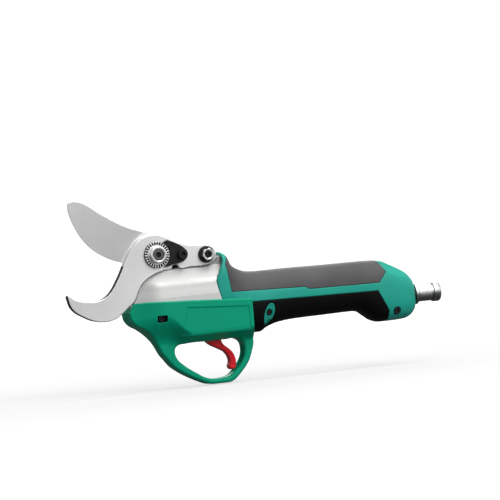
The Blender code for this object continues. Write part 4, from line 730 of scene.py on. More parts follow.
POCKET = [(-24.5, -30.0, "c"), (75.0, -30.0, "c"), (75.0, -66.6, "c"), (70.0, -65.2, "c"), (60.0, -57.2, "c"), (55.0, -54.4, "c"), (39.0, -54.2, "c"), (-9.5, -54.2, "c"), (-19.2, -51.3, "c"), (-23.5, -46.4, "c"), (-24.5, -40.5, "c")]
TRIGGER = [
    (31.0, -57.8), (38.0, -57.2), (44.0, -58.0), (47.6, -60.6), (48.2, -65.0), (47.2, -69.4), (48.6, -72.2), (52.0, -75.2), (54.9, -78.2), (57.0, -82.8), (57.3, -87.6), (56.6, -90.4), (54.6, -91.7), (52.2, -91.2), (51.2, -89.2),
    (52.3, -86.2), (51.8, -82.0), (49.4, -78.3), (44.6, -75.2), (39.6, -72.6), (36.2, -70.0), (34.4, -67.6), (31.6, -64.4), (28.6, -62.6), (28.4, -59.2),
]


# outlines drawn finely bulge a little past the CAD solids' straight chords: keep them inside the same box
HOOK = [(x + 1.8 * min(1.0, max(0.0, (-66.0 - x) / 8.0)), z) for x, z in HOOK]
BLADE = [(p[0], p[1] - 0.14, *p[2:]) if p[1] > 44.9 else p for p in BLADE]


def front_taper(x):
    return 0.50 + 0.50 * smooth01((x + 29.0) / 29.5)


def loop_share(x, z):
    """0 in the finger loop, 1 in the guard's body."""
    k = smooth01(x / 20.0)
    hi, lo = -46.0 - 14.0 * k, -68.5 - 2.5 * k
    return smooth01((z - lo) / (hi - lo))


def guard_half(x, z):
    return LOOP_HALF + (GUARD_HALF * front_taper(x) - LOOP_HALF) * loop_share(x, z)


def head_half(x, z):
    """Half width of the head casting: a steep shoulder under the counter blade, a crease, then a nearly upright side."""
    z = np.minimum(z, -11.5)
    shoulder = 8.6 + (-11.5 - z) * 0.66
    side = 15.7 + (-22.6 - z) * 0.13
    e = np.maximum(1.6 - np.abs(shoulder - side), 0) / 1.6
    top = np.minimum(np.minimum(shoulder, side) - e * e * 0.4, 17.0)
    top = top * (0.62 + 0.38 * smooth01((x + 24.0) / 22.0))
    room = guard_half(x, z) - GUARD_WALL - 0.5
    e = np.maximum(2.2 - np.abs(top - room), 0) / 2.2
    return np.minimum(top, room) - e * e * 0.55


# ============================================================================ blade, counter blade and their fasteners
rx, rz = REAR_BOLT
lx, lz = LOCK_BOLT
edge_line = spline(EDGE, 1.0, closed=False)
HUB_ARC = spline([(-33.4, -12.0), (-29.5, -6.6), (-24.5, 0.6), (-19.4, 7.4), (-12.0, 14.1), (-4.0, 19.9), (-1.0, 22.4)], 1.0, closed=False)
HUB_FOOT = [(x - 0.42, z + 0.36) for x, z in HUB_ARC]
hub_zone = HUB_ARC + [(60.0, 30.0), (60.0, -60.0), (-33.4, -60.0)]


def blade_near(x, z):
    # the hub stands a little proud of the ground blade
    d = sd_poly(x, z, hub_zone)
    return -BLADE_HALF + 0.34 * np.clip(d / 0.55, 0, 1)


def blade_far(x, z):
    bevel = -BLADE_HALF + 0.95 + 0.30 * path_distance(x, z, edge_line)
    hub = np.where(z > -9, smooth01((np.hypot(x, z) - 19.0) / 6.0), 0.0)
    return BLADE_HALF + np.minimum(0.0, bevel - BLADE_HALF) * hub


blade = plate("blade", [spline(BLADE, 0.9), circle(0, 0, 6.2, 64), circle(PIN_X, PIN_Z, 2.65, 32)], blade_near, blade_far, MAT["blade_steel"], "blade", r_near=0.22, r_far=0.22,
              grid=2.0, creases=[HUB_ARC[3:-2], HUB_FOOT[3:-2]], replaces=["cutting_blade"], slot="blade_steel", segs=3, sharp=12)
blade.data.materials.append(MAT["hub_steel"])
mid = np.zeros(len(blade.data.polygons) * 3, np.float32)
blade.data.polygons.foreach_get("center", mid)
mid = mid.reshape(-1, 3) / MM + CENTRE
inner = sd_poly(mid[:, 0], mid[:, 2], hub_zone) < 0.05
blade.data.polygons.foreach_set("material_index", (inner & (mid[:, 1] < 0)).astype(np.int32))

hook = plate("hook", [spline(HOOK, 0.9), circle(0, 0, 4.25, 48), circle(*LOCK_BOLT, 2.2, 32), circle(*REAR_BOLT, 2.7, 32)], HOOK_Y[0], HOOK_Y[1], MAT["hook_steel"], "tool", r_near=0.75, r_far=0.3,
      grid=3.0, replaces=["counter_blade"], slot="hook_steel", segs=5)


def faces_of(obj):
    """Centres, in millimetres from the blade's pivot, and normals of an object's faces."""
    n = len(obj.data.polygons)
    c, d = np.zeros(n * 3, np.float32), np.zeros(n * 3, np.float32)
    obj.data.polygons.foreach_get("center", c)
    obj.data.polygons.foreach_get("normal", d)
    return c.reshape(-1, 3) / MM + CENTRE, d.reshape(-1, 3)


def second_material(obj, name, chosen):
    obj.data.materials.append(MAT[name])
    obj.data.polygons.foreach_set("material_index", chosen.astype(np.int32))


# painted shade: the counter blade's left-facing rim faces beside the blade and at its tip get a near-black material,
# standing in for the shade on these edges
c, d = faces_of(hook)
blade_side = (c[:, 0] < -54.0) | ((c[:, 2] > -31.0) & (c[:, 2] < -6.0) & (c[:, 0] > -50.0) & (c[:, 0] < -19.0))
second_material(hook, "dark_edge", (d[:, 0] < -0.30) & (np.abs(d[:, 1]) < 0.80) & blade_side)

lock = [(10.6 * math.cos(math.radians(a)), 10.6 * math.sin(math.radians(a))) for a in range(-62, 59, 4)]
lock += spline([(9.2, 10.4), (14.5, 8.0), (21.5, 3.7), (24.2, 0.6), (24.3, -3.0), (21.8, -6.0), (17.0, -7.8), (11.5, -8.6), (8.2, -9.6)], 0.8, closed=False)
plate("locking_plate", [lock, circle(*LOCK_BOLT, 2.3, 32)], -9.3, -7.5, MAT["black_steel"], "tool", r_near=0.4, r_far=0.1, replaces=["lock_plate"], slot="black_steel")


def nut_field(x, y, z):
    r = np.sqrt(x * x + z * z)
    a = np.arctan2(z, x)
    step = 2 * math.pi / 28
    fold = (a / step - np.floor(a / step) - 0.5) * step
    flange = both(r - 9.9, slab_field(y, -9.3, -7.5), 0.3)
    notch = np.maximum(np.maximum(np.abs(r * np.sin(fold)) - 0.52, 7.4 - r), y + 8.0)
    flange = without(flange, notch, 0.08)
    collar = both(both(hexagon(x, z, 0, 0, 6.24, math.pi / 6), r - 6.62, 0.3), slab_field(y, -13.2, -8.8), 0.0)
    cone = (r - 6.15) * 0.5 - (y + 13.2) * 0.866
    collar = both(collar, cone, 0.25)
    return without(without(either(flange, collar, 0.35), r - 4.1), (r - 4.75) * 0.707 + (y + 13.2) * 0.707, 0.15)


flange_nut = skin("flange_nut", nut_field, (-10, -13.3, -10), (10, -7.4, 10), 0.16, MAT["bright_fastener"], "tool", replaces=["pivot_nut"], slot="bright_fastener")
# painted shade: the notches in the nut's flange get a near-black material, standing in for the shade inside them
c, d = faces_of(flange_nut)
second_material(flange_nut, "notch_shade", (c[:, 1] > -9.1) & (c[:, 1] < -7.6) & (np.hypot(c[:, 0], c[:, 2]) > 7.3) & (np.hypot(c[:, 0], c[:, 2]) < 10.0))


def pivot_field(x, y, z):
    r = np.sqrt(x * x + z * z)
    shaft = both(r - 3.9, slab_field(y, -12.4, 10.0), 0.5)
    head = both(r - 8.0, slab_field(y, 9.1, 13.4), 0.7)
    f = either(shaft, head, 0.2)
    f = without(f, np.maximum(hexagon(x, z, 0, 0, 3.0), 11.2 - y), 0.12)
    return without(f, np.maximum(hexagon(x, z, 0, 0, 2.0, 0.3), y + 10.8), 0.12)


pivot_screw = skin("pivot_screw", pivot_field, (-8, -12.5, -8), (8, 13.5, 8), 0.24, MAT["black_steel"], "tool", replaces=["pivot_bolt"], slot="black_steel")
c, d = faces_of(pivot_screw)
second_material(pivot_screw, "recess_steel", c[:, 1] < -11.6)


def lock_screw_field(x, y, z):
    u, v = x - lx, z - lz
    r, a = np.sqrt(u * u + v * v), np.arctan2(z - lz, x - lx)
    knurl = 0.09 * np.abs(np.sin(15 * a)) * np.clip((y + 12.5) * 3, 0, 1)
    head = both(r - 3.68 + knurl, slab_field(y, -12.8, -9.6), 0.32)
    f = either(head, both(r - 2.0, slab_field(y, -10, 4.5), 0.3), 0.15)
    return without(f, np.maximum(hexagon(x, z, lx, lz, 1.55, 0.2), y + 11.0), 0.08)


skin("lock_screw", lock_screw_field, (lx - 4, -12.9, lz - 4), (lx + 4, 4.6, lz + 4), 0.15, MAT["black_steel"], "tool", replaces=["lock_plate_screw"], slot="black_steel")


def rear_bolt_field(x, y, z):
    r = tube(x, z, rx, rz, 0)
    f = either(both(r - 2.45, slab_field(y, -12.9, 9.5), 0.35), both(r - 4.3, slab_field(y, 8.9, 12.6), 0.5), 0.15)
    f = without(f, np.maximum(hexagon(x, z, rx, rz, 1.9), 10.8 - y), 0.1)
    return without(f, np.maximum(hexagon(x, z, rx, rz, 1.35, 0.5), y + 11.6), 0.06)


skin("rear_arm_bolt", rear_bolt_field, (rx - 4.4, -13, rz - 4.4), (rx + 4.4, 12.7, rz + 4.4), 0.17, MAT["black_steel"], "tool", replaces=["rear_bolt"], slot="black_steel")


def rear_nut_field(x, y, z):
    r = tube(x, z, rx, rz, 0)
    f = np.maximum(hexagon(x, z, rx, rz, 4.24, 0.2 + math.pi / 6), slab_field(y, -13.2, -9.4))
    f = both(f, (r - 4.3) * 0.5 - (y + 13.2) * 0.866, 0.08)
    f = both(f, (r - 4.55) * 0.5 + (y + 9.4) * 0.866, 0.08)
    f = without(f, r - 2.62)
    return without(f, (r - 3.2) * 0.707 + (y + 13.2) * 0.707, 0.1)


skin("rear_arm_nut", rear_nut_field, (rx - 5, -13.3, rz - 5), (rx + 5, -9.3, rz + 5), 0.13, MAT["bright_fastener"], "tool", replaces=["rear_bolt_nut"], slot="bright_fastener")
lathe("rear_arm_washer", [(-9.2, 2.75), (-9.2, 5.9), (-8.9, 6.2), (-8.5, 6.3), (-7.5, 6.3), (-7.5, 2.75)], MAT["black_steel"], "tool", axis="y", centre=(rx, 0, rz), n=72, replaces=["rear_bolt_washer"], slot="black_steel")


def socket_screw(name, node, cx, cz, y0, y1, r, socket, body="tool"):
    """A small button screw seen from the left: y0 is its head, y1 the face it sits on."""
    def field(x, y, z):
        q = tube(x, z, cx, cz, 0)
        f = both(q - r, slab_field(y, y0, y1), 0.45)
        star = np.arctan2(z - cz, x - cx)
        return without(f, np.maximum(q - socket * (1 + 0.14 * np.cos(6 * star)), y - (y0 + 1.15)), 0.06)

    skin(name, field, (cx - r, y0, cz - r), (cx + r, y1, cz + r), 0.11, MAT["black_steel"], body, replaces=[node], slot="black_steel")




def guard_screw_field(x, y, z):
    """The guard's screw on a flat black plate at the bottom of its pocket; the plate's black is painted shade, standing
    in for the dark depth of the pocket.
    """
    gx, gz = GUARD_SCREW
    q = tube(x, z, gx, gz, 0)
    f = both(q - 2.35, slab_field(y, -16.0, -13.2), 0.4)
    # painted shade: the black plate fills the pocket's floor so that the pocket reads dark
    pocket_shade_plate = both(both(np.abs(x - gx - 0.95) - 4.7, np.abs(z - gz) - 2.75, 0.5), slab_field(y, -13.9, -13.2), 0.15)
    star = np.arctan2(z - gz, x - gx)
    return without(either(f, pocket_shade_plate, 0.2), np.maximum(q - 1.35 * (1 + 0.14 * np.cos(6 * star)), y + 14.9), 0.06)


skin("guard_torx_screw", guard_screw_field, (GUARD_SCREW[0] - 3.8, -16.1, GUARD_SCREW[1] - 2.8), (GUARD_SCREW[0] + 5.7, -13.1, GUARD_SCREW[1] + 2.8), 0.13, MAT["black_steel"], "tool", replaces=["guard_screw"], slot="black_steel")
socket_screw("end_torx_screw", "end_screw", *END_SCREW, -17.0, -14.9, 2.6, 1.3)
socket_screw("grip_torx_screw", "grip_screw", GRIP_SCREW[0] + 1.2, GRIP_SCREW[1] + 1.0, -15.0, -12.9, 2.3, 1.15)

# ============================================================================ head casting
ztop, zbot, half_w, power = mono(ZTOP), mono(ZBOT), mono(HALF), mono(POWER)
upper_line, lower_line = linear(UPPER), linear(LOWER)
rear_shift = linear([(-68.0, 3.9), (-60.0, 3.7), (-43.5, -4.8), (-41.2, -4.8), (-38.8, -3.2), (-30.6, 3.7), (-22.5, 0.2), (-10.0, -3.0)])
front_shift = linear([(-52.0, -3.0), (-38.0, -4.4), (-30.0, -6.4), (-24.0, -7.4), (-17.7, -4.6), (-9.6, -0.6), (-3.0, 0.0)])


def hull(x, y, z):
    """Distance-like field of the handle's outer skin, before its ends are cut."""
    top, bot, w, n = ztop(x), zbot(x), half_w(x), power(x)
    zc, h = (top + bot) / 2, (top - bot) / 2
    r = np.sqrt(y * y + (z - zc) ** 2) + 1e-6
    rho = ((np.abs(y) / w) ** n + (np.abs(z - zc) / h) ** n) ** (1 / n)
    return r - r / np.maximum(rho, 1e-6)


def collar_room(x, y, z):
    """The space that the handle's collar takes round the rear of the head."""
    d = hull(np.maximum(x, 50.5), y, z)
    ahead = (50.15 + front_shift(z)) - x
    return np.maximum(ahead, -(d + 3.9))


hook_room = inset(ccw(spline(HOOK, 1.2)), -0.35)
cover_sd, hook_room_sd = outline(spline(COVER, 1.2)), outline(hook_room)


def shaft_bore(x, y, z, r, x0, x1):
    return np.maximum(np.sqrt(y * y + (z - SCREW_Z) ** 2) - r, np.maximum(x0 - x, x - x1))


def cover_field(x, y, z):
    f = both(cover_sd(x, z), -y - np.maximum(head_half(x, z), 4.2), 1.0)
    f = both(f, y + 2.5, 0.15)
    near_hook = hook_room_sd(x, z)
    f = without(f, np.maximum(near_hook, slab_field(y, -8.2, 0)), 0.2)
    f = without(f, np.maximum(np.maximum(near_hook - 0.75, 12.5 - x), slab_field(y, -9.0, -5.5)), 0.1)
    f = without(f, np.maximum(sd_poly(x, z, [(-22.7, -36.0), (-22.7, -44.4), (-17.6, -48.9), (-8.0, -50.9), (12.0, -50.9), (12.0, -29.0), (-8.0, -29.0), (-20.0, -31.5)]), slab_field(y, -7.9, 0)), 0.0)
    f = without(f, shaft_bore(x, y, z, 11.3, 11.0, 80.0))
    f = without(f, np.maximum(tube(x, z, rx, rz, 7.4), y + 1.0), 0.4)
    f = without(f, np.maximum(np.maximum(np.abs(x - GUARD_SCREW[0] - 0.95) - 4.9, np.abs(z - GUARD_SCREW[1]) - 2.95), y + 13.05))
    return without(f, collar_room(x, y, z), 0.1)


skin("head_left_casting", cover_field, (-26.6, -17.1, -53.6), (52.6, -2.4, -4.6), 0.45, MAT["cast_aluminium"], "tool", replaces=["head_cover"], slot="cast_aluminium")

frame_sd, lug_sd, web_sd = outline(spline(FRAME_LOW, 1.2)), outline(spline(LUG, 1.2)), outline(spline(WEB, 1.5))
sweep = [(17.2 * math.cos(math.radians(a)), 17.2 * math.sin(math.radians(a))) for a in range(-38, 200, 4)]
sweep += [(-40.0, -8.0), (-40.0, -31.0), (-23.4, -31.0), (-23.4, -44.5), (-18.0, -48.8), (-8.0, -51.2), (24.0, -51.2), (24.0, -27.0), (17.0, -16.0)]


sweep_sd = outline(sweep)


def head_frame_field(x, y, z):
    f = both(frame_sd(x, z), y - np.maximum(head_half(np.maximum(x, -24.0), z), 8.6), 1.0)
    f = both(f, -2.2 - y, 0.15)
    lug = both(lug_sd(x, z), slab_field(y, 2.45, 8.6), 0.7)
    web = np.maximum(web_sd(x, z), slab_field(y, -2.0, 3.2))
    f = either(either(f, lug, 1.2), web, 0.3)
    f = without(f, np.maximum(sweep_sd(x, z), slab_field(y, -2.9, 2.35)), 0.1)
    f = without(f, np.maximum(sd_poly(x, z, [(-22.7, -33.0), (-22.7, -44.4), (-17.6, -48.9), (-8.0, -50.9), (12.0, -50.9), (12.0, -29.0), (-8.0, -29.0), (-20.0, -31.5)]), slab_field(y, -2.9, 7.9)))
    f = without(f, shaft_bore(x, y, z, 11.3, 11.0, 80.0))
    f = without(f, np.sqrt(x * x + z * z) - 4.2)
    f = without(f, np.maximum(tube(x, z, lx, lz, 2.3), y - 5.2))
    f = without(f, tube(x, z, rx, rz, 2.75))
    return without(f, collar_room(x, y, z), 0.1)


skin("head_right_casting", head_frame_field, (-26.6, -2.3, -53.6), (52.6, 17.1, 13.4), 0.45, MAT["cast_aluminium"], "tool", replaces=["head_frame"], slot="cast_aluminium")


# painted shade: a small black rubber block fills the notch in the counter blade's lower edge, standing in for the dark
# hollow seen through it
def notch_block_field(x, y, z):
    return both(both(slab_field(x, 12.9, 15.9), slab_field(y, -6.9, -3.1), 0.6), slab_field(z, -11.1, -9.6), 0.4)


skin("notch_shade_block", notch_block_field, (12.9, -6.9, -11.1), (15.9, -3.1, -9.6), 0.15, MAT["black_rubber"], "tool", replaces=["grease_plug"], slot="black_rubber")

# ============================================================================ trigger guard
guard_loop, finger_loop = spline(GUARD, 0.8), spline(FINGER, 0.8)
guard_sd = Outline(lambda x, z: np.maximum(sd_poly(x, z, guard_loop), -sd_poly(x, z, finger_loop)), (-31, -104), (75, -33), 0.25)
pocket_sd = outline(spline(POCKET, 2.0))
room_sd = outline([(20.0, -53.0), (52.5, -53.0), (52.5, -60.0), (51.0, -66.9), (20.0, -66.9)])
slot_sd = outline([(33.2, -60.0), (51.5, -60.0), (52.5, -72.0), (33.2, -72.0)])
recess_sd = outline([(50.0, -80.0), (56.0, -74.0), (61.0, -72.5), (65.6, -76.0), (66.0, -80.5), (63.9, -86.0), (60.6, -90.4), (56.4, -94.0), (52.0, -93.0)])
PANEL = [(16.6, -41.0), (66.0, -44.4), (66.2, -61.6), (9.8, -61.6)]
panel_sd = outline(PANEL)


def guard_field(side):
    def field(x, y, z):
        w = -y        # built as the left shell; the right one is its mirror image
        t = loop_share(x, z)
        half = guard_half(x, z)
        # side panel: a shallow inset with a raised ridge under it, and the channel that runs down from the screw pocket
        face = half - 0.60 * smooth01(-panel_sd(x, z) / 0.9) + 0.75 * (1 - smooth01(segment(x, z, (11.5, -63.0), (66.2, -63.0)) / 1.3))
        if side < 0:
            gx, gz = GUARD_SCREW
            v = np.abs(x - gx - 0.1 * (z - gz)) - np.clip(3.4 + (z - gz) * 0.20, 0.1, 4)
            face = face - (0.80 + (z - gz) * 0.035) * smooth01(-v / 0.7) * smooth01((gz - z) / 1.2) * smooth01((z + 63.0) / 3.0)
        f = np.maximum(both(guard_sd(x, z), w - face, 1.9 - 0.6 * t), -101.0 - z)
        f = without(f, np.maximum(pocket_sd(x, z), w - half + GUARD_WALL))
        f = without(f, np.maximum(room_sd(x, z), w - 6.4))
        f = without(f, np.maximum(slot_sd(x, z), w - 4.4), 0.3)
        f = without(f, np.maximum(recess_sd(x, z), w - 4.4), 0.4)
        if side < 0:
            gx, gz = GUARD_SCREW
            f = without(f, np.maximum(both(np.abs(x - gx) - 3.8, np.abs(z - gz) - 2.5, 0.6), 13.0 - w), 0.15)
        return both(f, SEAM - w, 0.22)

    return field


for side, name in ((-1, "left"), (1, "right")):
    skin(f"guard_moulding_{name}", guard_field(side), (-28.8, -19.5, -101.2), (72.1, 0.0, -35.2), 0.5, MAT["green_plastic"], "tool", replaces=[f"guard_shell_{name}"], slot="green_plastic", mirror=side > 0)

# ============================================================================ trigger
trigger_sd = outline(spline(TRIGGER, 0.6), h=0.25)


def trigger_field(x, y, z):
    d = trigger_sd(x, z)
    f = both(d, np.abs(y) - 3.7, 1.5)
    # a shallow dish down both sides of the finger blade
    dish = np.maximum(d + 1.9, 3.35 - np.abs(y))
    f = without(f, np.maximum(dish, z + 71.0), 0.3)
    return without(f, tube(x, z, *TRIGGER_PIVOT, 1.75), 0.1)


skin("finger_trigger", trigger_field, (28.0, -3.8, -91.9), (57.6, 3.8, -57.0), 0.33, MAT["red_plastic"], "trigger_lever", replaces=["trigger"], slot="red_plastic")

# ============================================================================ handle
pad_front = linear([(-40.0, 55.6), (-34.6, 54.9), (-33.0, 53.8), (-11.8, 51.0), (-7.6, 53.4), (-4.0, 54.6)])


def ends(x, z):
    return np.maximum((50.5 + front_shift(z)) - x, x - REAR_X)


def cap_facets(x, y, z):
    """Flat faces cut on the rear cap: two along its top edges, two along its bottom ones and a sloping one above the connector."""
    w = np.abs(y)
    top = ((w - 17.2) * 0.66 + (z + 33.6 + (x - 186.0) * 0.40) * 0.75) + (x - 186.0) * 0.03
    low = ((w - 17.4) * 0.72 - (z + 61.8 - (x - 186.0) * 0.12) * 0.69) + (x - 186.0) * 0.05
    ramp = np.clip((177.5 + rear_shift(z) - x) * 0.5, 0, 6)
    return np.maximum(top, low) - ramp


def pads(x, z):
    """(upper, lower): regions of the two grip skins in side view, negative inside."""
    rear = x - (175.9 + rear_shift(z))
    return (np.maximum(np.maximum(upper_line(x) - z, pad_front(z) - x), rear), np.maximum(np.maximum(z - lower_line(x), 66.0 + 0.25 * (z + 42.0) - x), rear))


OVAL = [(GRIP_SCREW[0] + 1.2 + u * math.cos(0.3) + v * math.sin(0.3), GRIP_SCREW[1] - u * math.sin(0.3) + v * math.cos(0.3)) for u, v in ((4.3 * math.cos(t * math.pi / 30), 8.6 * math.sin(t * math.pi / 30)) for t in range(60))]
oval_sd = outline(OVAL)


def shell_field(side):
    def field(x, y, z):
        w = -y
        d = hull(x, y, z)
        skin_d = both(d, cap_facets(x, y, z), 0.35)
        up, low = pads(x, z)
        f = both(skin_d, ends(x, z), 0.9)
        f = without(f, np.maximum(np.minimum(up, low), -(d + PAD)), 0.35)
        f = without(f, np.maximum(skin_d + 3.0, x - 200.5))
        f = without(f, np.maximum(tube(y, z, 0.0, CONN_Z, 6.5), 190.0 - x), 0.3)
        f = without(f, shaft_bore(x, y, z, 13.7, 40.0, 64.0))
        if side < 0:
            f = without(f, np.maximum(tube(x, z, *END_SCREW, 3.0), 14.6 - w), 0.3)
            f = without(f, np.maximum(oval_sd(x, z), 12.6 - w))
        return both(f, SEAM - w, 0.22)

    return field


def pad_field(side, upper):
    def field(x, y, z):
        w = -y
        d = hull(x, y, z)
        up, low = pads(x, z)
        f = both(d, (up if upper else low) + 0.12, 0.55)
        f = np.maximum(f, -(d + PAD - 0.15))
        if side < 0 and not upper:
            f = without(f, np.maximum(oval_sd(x, z), 7.0 - w), 0.35)
        return both(f, SEAM - w, 0.22)

    return field


for side, name in ((-1, "left"), (1, "right")):
    mirrored = side > 0
    skin(f"handle_moulding_{name}", shell_field(side), (42.9, -18.8, -68.1), (204.1, 0.0, -2.2), 0.62, MAT["teal_plastic"], "tool", replaces=[f"handle_shell_{name}"], slot="teal_plastic", mirror=mirrored)
    skin(f"grey_grip_{name}", pad_field(side, True), (49.8, -18.8, -39.5), (180.0, 0.0, -3.2), 0.6, MAT["grey_rubber"], "tool", replaces=[f"upper_grip_{name}"], slot="grey_rubber", mirror=mirrored)
    skin(f"black_grip_{name}", pad_field(side, False), (58.0, -18.8, -68.1), (180.0, 0.0, -41.8), 0.6, MAT["black_rubber"], "tool", replaces=[f"lower_grip_{name}"], slot="black_rubber", mirror=mirrored)

cup_sd = outline(inset(ccw(OVAL), 0.3))
gx, gz = GRIP_SCREW[0] + 1.2, GRIP_SCREW[1] + 1.0


def cup_field(x, y, z):
    w = -y
    d = hull(x, y, z)
    o = cup_sd(x, z)
    dish = 0.35 + 0.9 * smooth01(-o / 3.0)
    f = both(np.maximum(o, 12.75 - w), d + dish, 0.35)
    return without(f, tube(x, z, gx, gz, 2.6), 0.35)


skin("grip_screw_pocket", cup_field, (gx - 7, -18.0, gz - 10), (gx + 7, -12.6, gz + 9), 0.26, MAT["teal_plastic"], "tool", replaces=["grip_screw_cup"], slot="teal_plastic")

# ============================================================================ connector
def knurl(a, s, r):
    if 211.2 <= s <= 220.9:
        return 0.16 * (abs(math.sin(20 * a + 2.6 * s)) + abs(math.sin(20 * a - 2.6 * s))) - 0.22
    return 0.0


barrel = [(195.4, 4.7), (195.4, 6.2), (206.1, 6.2), (206.6, 6.4), (206.6, 7.8), (207.0, 8.2), (208.9, 8.2), (209.2, 7.9), (209.8, 6.5), (210.4, 6.3), (211.1, 6.3)]
barrel += [(211.2 + 0.22 * k, 6.34) for k in range(45)]
barrel += [(221.3, 6.1), (221.7, 6.1), (222.0, 6.9), (222.4, 7.35), (223.9, 7.4), (224.1, 7.05), (224.6, 7.05), (224.8, 7.4), (226.8, 7.4), (227.4, 7.1), (227.59, 6.7), (227.59, 5.9), (227.2, 5.5), (216.0, 5.5), (216.0, 4.7)]
lathe("connector_socket", barrel, MAT["connector_metal"], "tool", centre=(0, 0, CONN_Z), n=160, replaces=["connector_body"], slot="bright_fastener", wave=knurl, sharp=34)
lathe("connector_seal", [(204.3, 6.6), (204.3, 7.9), (204.6, 8.3), (205.1, 8.4), (205.6, 8.3), (205.9, 7.9), (205.9, 6.6)], MAT["black_rubber"], "tool", centre=(0, 0, CONN_Z), n=96, replaces=["connector_gasket"], slot="black_rubber")


def insert_field(x, y, z):
    q = np.sqrt(y * y + (z - CONN_Z) ** 2)
    f = both(q - 4.4, slab_field(x, 199.0, 221.0), 0.3)
    for k in range(3):
        a = math.pi / 2 + k * 2 * math.pi / 3
        f = without(f, np.maximum(tube(y, z, 2.3 * math.cos(a), CONN_Z + 2.3 * math.sin(a), 0.8), 217.5 - x), 0.08)
    return f


skin("connector_core", insert_field, (199.0, -4.5, CONN_Z - 4.5), (221.0, 4.5, CONN_Z + 4.5), 0.22, MAT["black_plastic"], "tool", replaces=["connector_insert"], slot="black_plastic")

# ============================================================================ the inside keeps its CAD solids
SLOTS = {row["node"]: row["material_slot"] for row in frame["record"]["subparts"]}
# the trigger's spring is pressed together as the trigger is pulled, so it is a piece of its own with the CAD spring's shape
cad_spring = frame["nodes"]["trigger_spring"]
coil_spring = bpy.data.objects.new("return_spring", cad_spring.data.copy())
bpy.context.scene.collection.objects.link(coil_spring)
coil_spring.matrix_world = cad_spring.matrix_world.copy()
coil_spring.data.materials.clear()
coil_spring.data.materials.append(MAT[SLOTS["trigger_spring"]])
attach(coil_spring, "tool")
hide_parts("trigger_spring")
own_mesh(coil_spring)
for name, obj in frame["nodes"].items():
    obj.data.materials.clear()
    obj.data.materials.append(MAT[SLOTS[name]])
    if not obj.hide_render:
        bevel = obj.modifiers.new("eased_edges", "BEVEL")
        bevel.width = 0.00012
        bevel.segments = 2
        bevel.limit_method = "ANGLE"
        bevel.angle_limit = math.radians(38)
        bevel.harden_normals = False

# ============================================================================ stage, light and camera
def disc(name, radius, z, n=96):
    mesh = bpy.data.meshes.new(name)
    pts = [(radius * math.cos(2 * math.pi * k / n), radius * math.sin(2 * math.pi * k / n), z) for k in range(n)]
    mesh.from_pydata(pts, [], [tuple(range(n))])
    obj = bpy.data.objects.new(name, mesh)
    bpy.context.scene.collection.objects.link(obj)
    return obj


floor = disc("studio_floor", 14.0, (-101.6 - CENTRE[2]) * MM)
fm, fnt, fb = new_material("pale_floor")
fb.inputs["Roughness"].default_value = 0.95
fb.inputs["Specular IOR Level"].default_value = 0.0
fb.inputs["Emission Color"].default_value = (1, 1, 1, 1)
seen_by = fnt.nodes.new("ShaderNodeLightPath")
fnt.links.new(mix(fnt, seen_by.outputs["Is Camera Ray"], (0.10, 0.10, 0.10), (0.30, 0.30, 0.30)), fb.inputs["Base Color"])
# the camera sees the same pale tone near the tool, where the lamps fall, and far away, where they don't
fpos = fnt.nodes.new("ShaderNodeNewGeometry").outputs["Position"]
flen = fnt.nodes.new("ShaderNodeVectorMath")
flen.operation = "LENGTH"
fnt.links.new(fpos, flen.inputs[0])
fade = remap(fnt, flen.outputs["Value"], 0.15, 1.6, 0.60, 1.0)
own = fnt.nodes.new("ShaderNodeMath")
own.operation = "MULTIPLY"
fnt.links.new(fade, own.inputs[0])
fnt.links.new(remap(fnt, seen_by.outputs["Is Camera Ray"], 0, 1, 0.04, 1.0), own.inputs[1])
fnt.links.new(own.outputs[0], fb.inputs["Emission Strength"])
floor.data.materials.append(fm)

world = bpy.data.worlds.new("studio")
bpy.context.scene.world = world
world.use_nodes = True
wn = world.node_tree
bg = wn.nodes["Background"]
# the studio: bright in front at eye height, greyer overhead and darker to the blade's side; the camera itself sees plain white
gen = wn.nodes.new("ShaderNodeTexCoord").outputs["Generated"]


def toward(direction):
    d = wn.nodes.new("ShaderNodeVectorMath")
    d.operation = "DOT_PRODUCT"
    wn.links.new(gen, d.inputs[0])
    d.inputs[1].default_value = Vector(direction).normalized()
    return d.outputs["Value"]


def times(a, b):
    m = wn.nodes.new("ShaderNodeMath")
    m.operation = "MULTIPLY"
    wn.links.new(a, m.inputs[0])
    wn.links.new(b, m.inputs[1])
    return m.outputs[0]


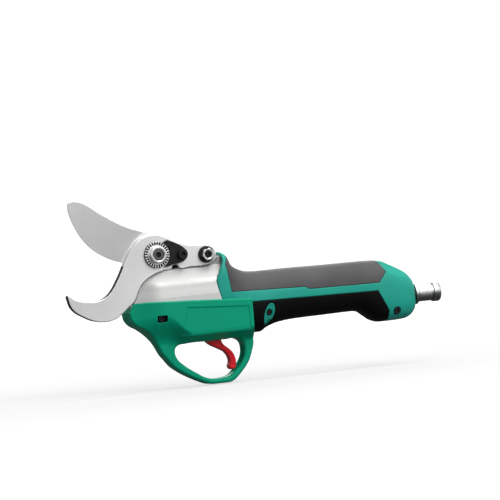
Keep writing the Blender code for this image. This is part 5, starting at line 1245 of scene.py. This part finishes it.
side = remap(wn, toward((-1.0, 0.25, -0.1)), 0.35, 0.95, 1.0, 0.10)
over = remap(wn, toward((0.0, 0.1, 1.0)), 0.25, 0.95, 1.0, 0.62)
under = remap(wn, toward((0.0, 0.0, -1.0)), 0.1, 0.7, 1.0, 0.25)
front = remap(wn, toward((0.34, -0.94, 0.0)), 0.55, 0.97, 1.0, 1.85)
glow = times(times(times(side, over), under), front)
seen = wn.nodes.new("ShaderNodeLightPath").outputs["Is Camera Ray"]
pick = wn.nodes.new("ShaderNodeMix")
pick.data_type = "FLOAT"
wn.links.new(seen, pick.inputs[0])
strength = wn.nodes.new("ShaderNodeMath")
strength.operation = "MULTIPLY"
strength.inputs[1].default_value = 0.62
wn.links.new(glow, strength.inputs[0])
wn.links.new(strength.outputs[0], pick.inputs[2])
pick.inputs[3].default_value = 1.02
wn.links.new(pick.outputs[0], bg.inputs["Strength"])
bg.inputs["Color"].default_value = (0.99, 0.995, 1.0, 1)


def lamp(name, place, aim, size, power, size_y=None, colour=(1, 1, 1)):
    data = bpy.data.lights.new(name, "AREA")
    data.shape = "RECTANGLE"
    data.size, data.size_y = size, size_y or size
    data.energy = power
    data.color = colour
    obj = bpy.data.objects.new(name, data)
    obj.location = place
    obj.rotation_euler = (Vector(aim) - Vector(place)).to_track_quat("-Z", "Y").to_euler()
    bpy.context.scene.collection.objects.link(obj)
    return obj


lamp("key", (0.25, -1.05, 0.95), (0.0, 0.0, 0.0), 0.7, 8.5)
lamp("top", (0.30, -0.10, 1.2), (0.0, 0.0, 0.0), 0.6, 6.0)
lamp("back", (0.35, 1.05, 0.60), (0.0, 0.0, 0.0), 0.8, 6.0)

az, el, roll = math.radians(-21.0), math.radians(1.5), math.radians(5.43)
look = Vector(((78.0 - CENTRE[0]) * MM, 0.0, (-3.9 - CENTRE[2]) * MM))
back = Vector((math.sin(az) * math.cos(el), -math.cos(az) * math.cos(el), math.sin(el)))
right0 = Vector((math.cos(az), math.sin(az), 0.0))
up0 = back.cross(right0)
right = right0 * math.cos(roll) - up0 * math.sin(roll)
up = up0 * math.cos(roll) + right0 * math.sin(roll)
cam = bpy.data.cameras.new("camera")
cam.lens, cam.sensor_width, cam.clip_start, cam.clip_end = 477.5, 36.0, 0.05, 60
camera = bpy.data.objects.new("camera", cam)
from mathutils import Matrix
m = Matrix((right, up, back)).transposed().to_4x4()
m.translation = look + back * 5.0
camera.matrix_world = m
bpy.context.scene.collection.objects.link(camera)
bpy.context.scene.camera = camera
bpy.context.scene.view_settings.view_transform = "Standard"
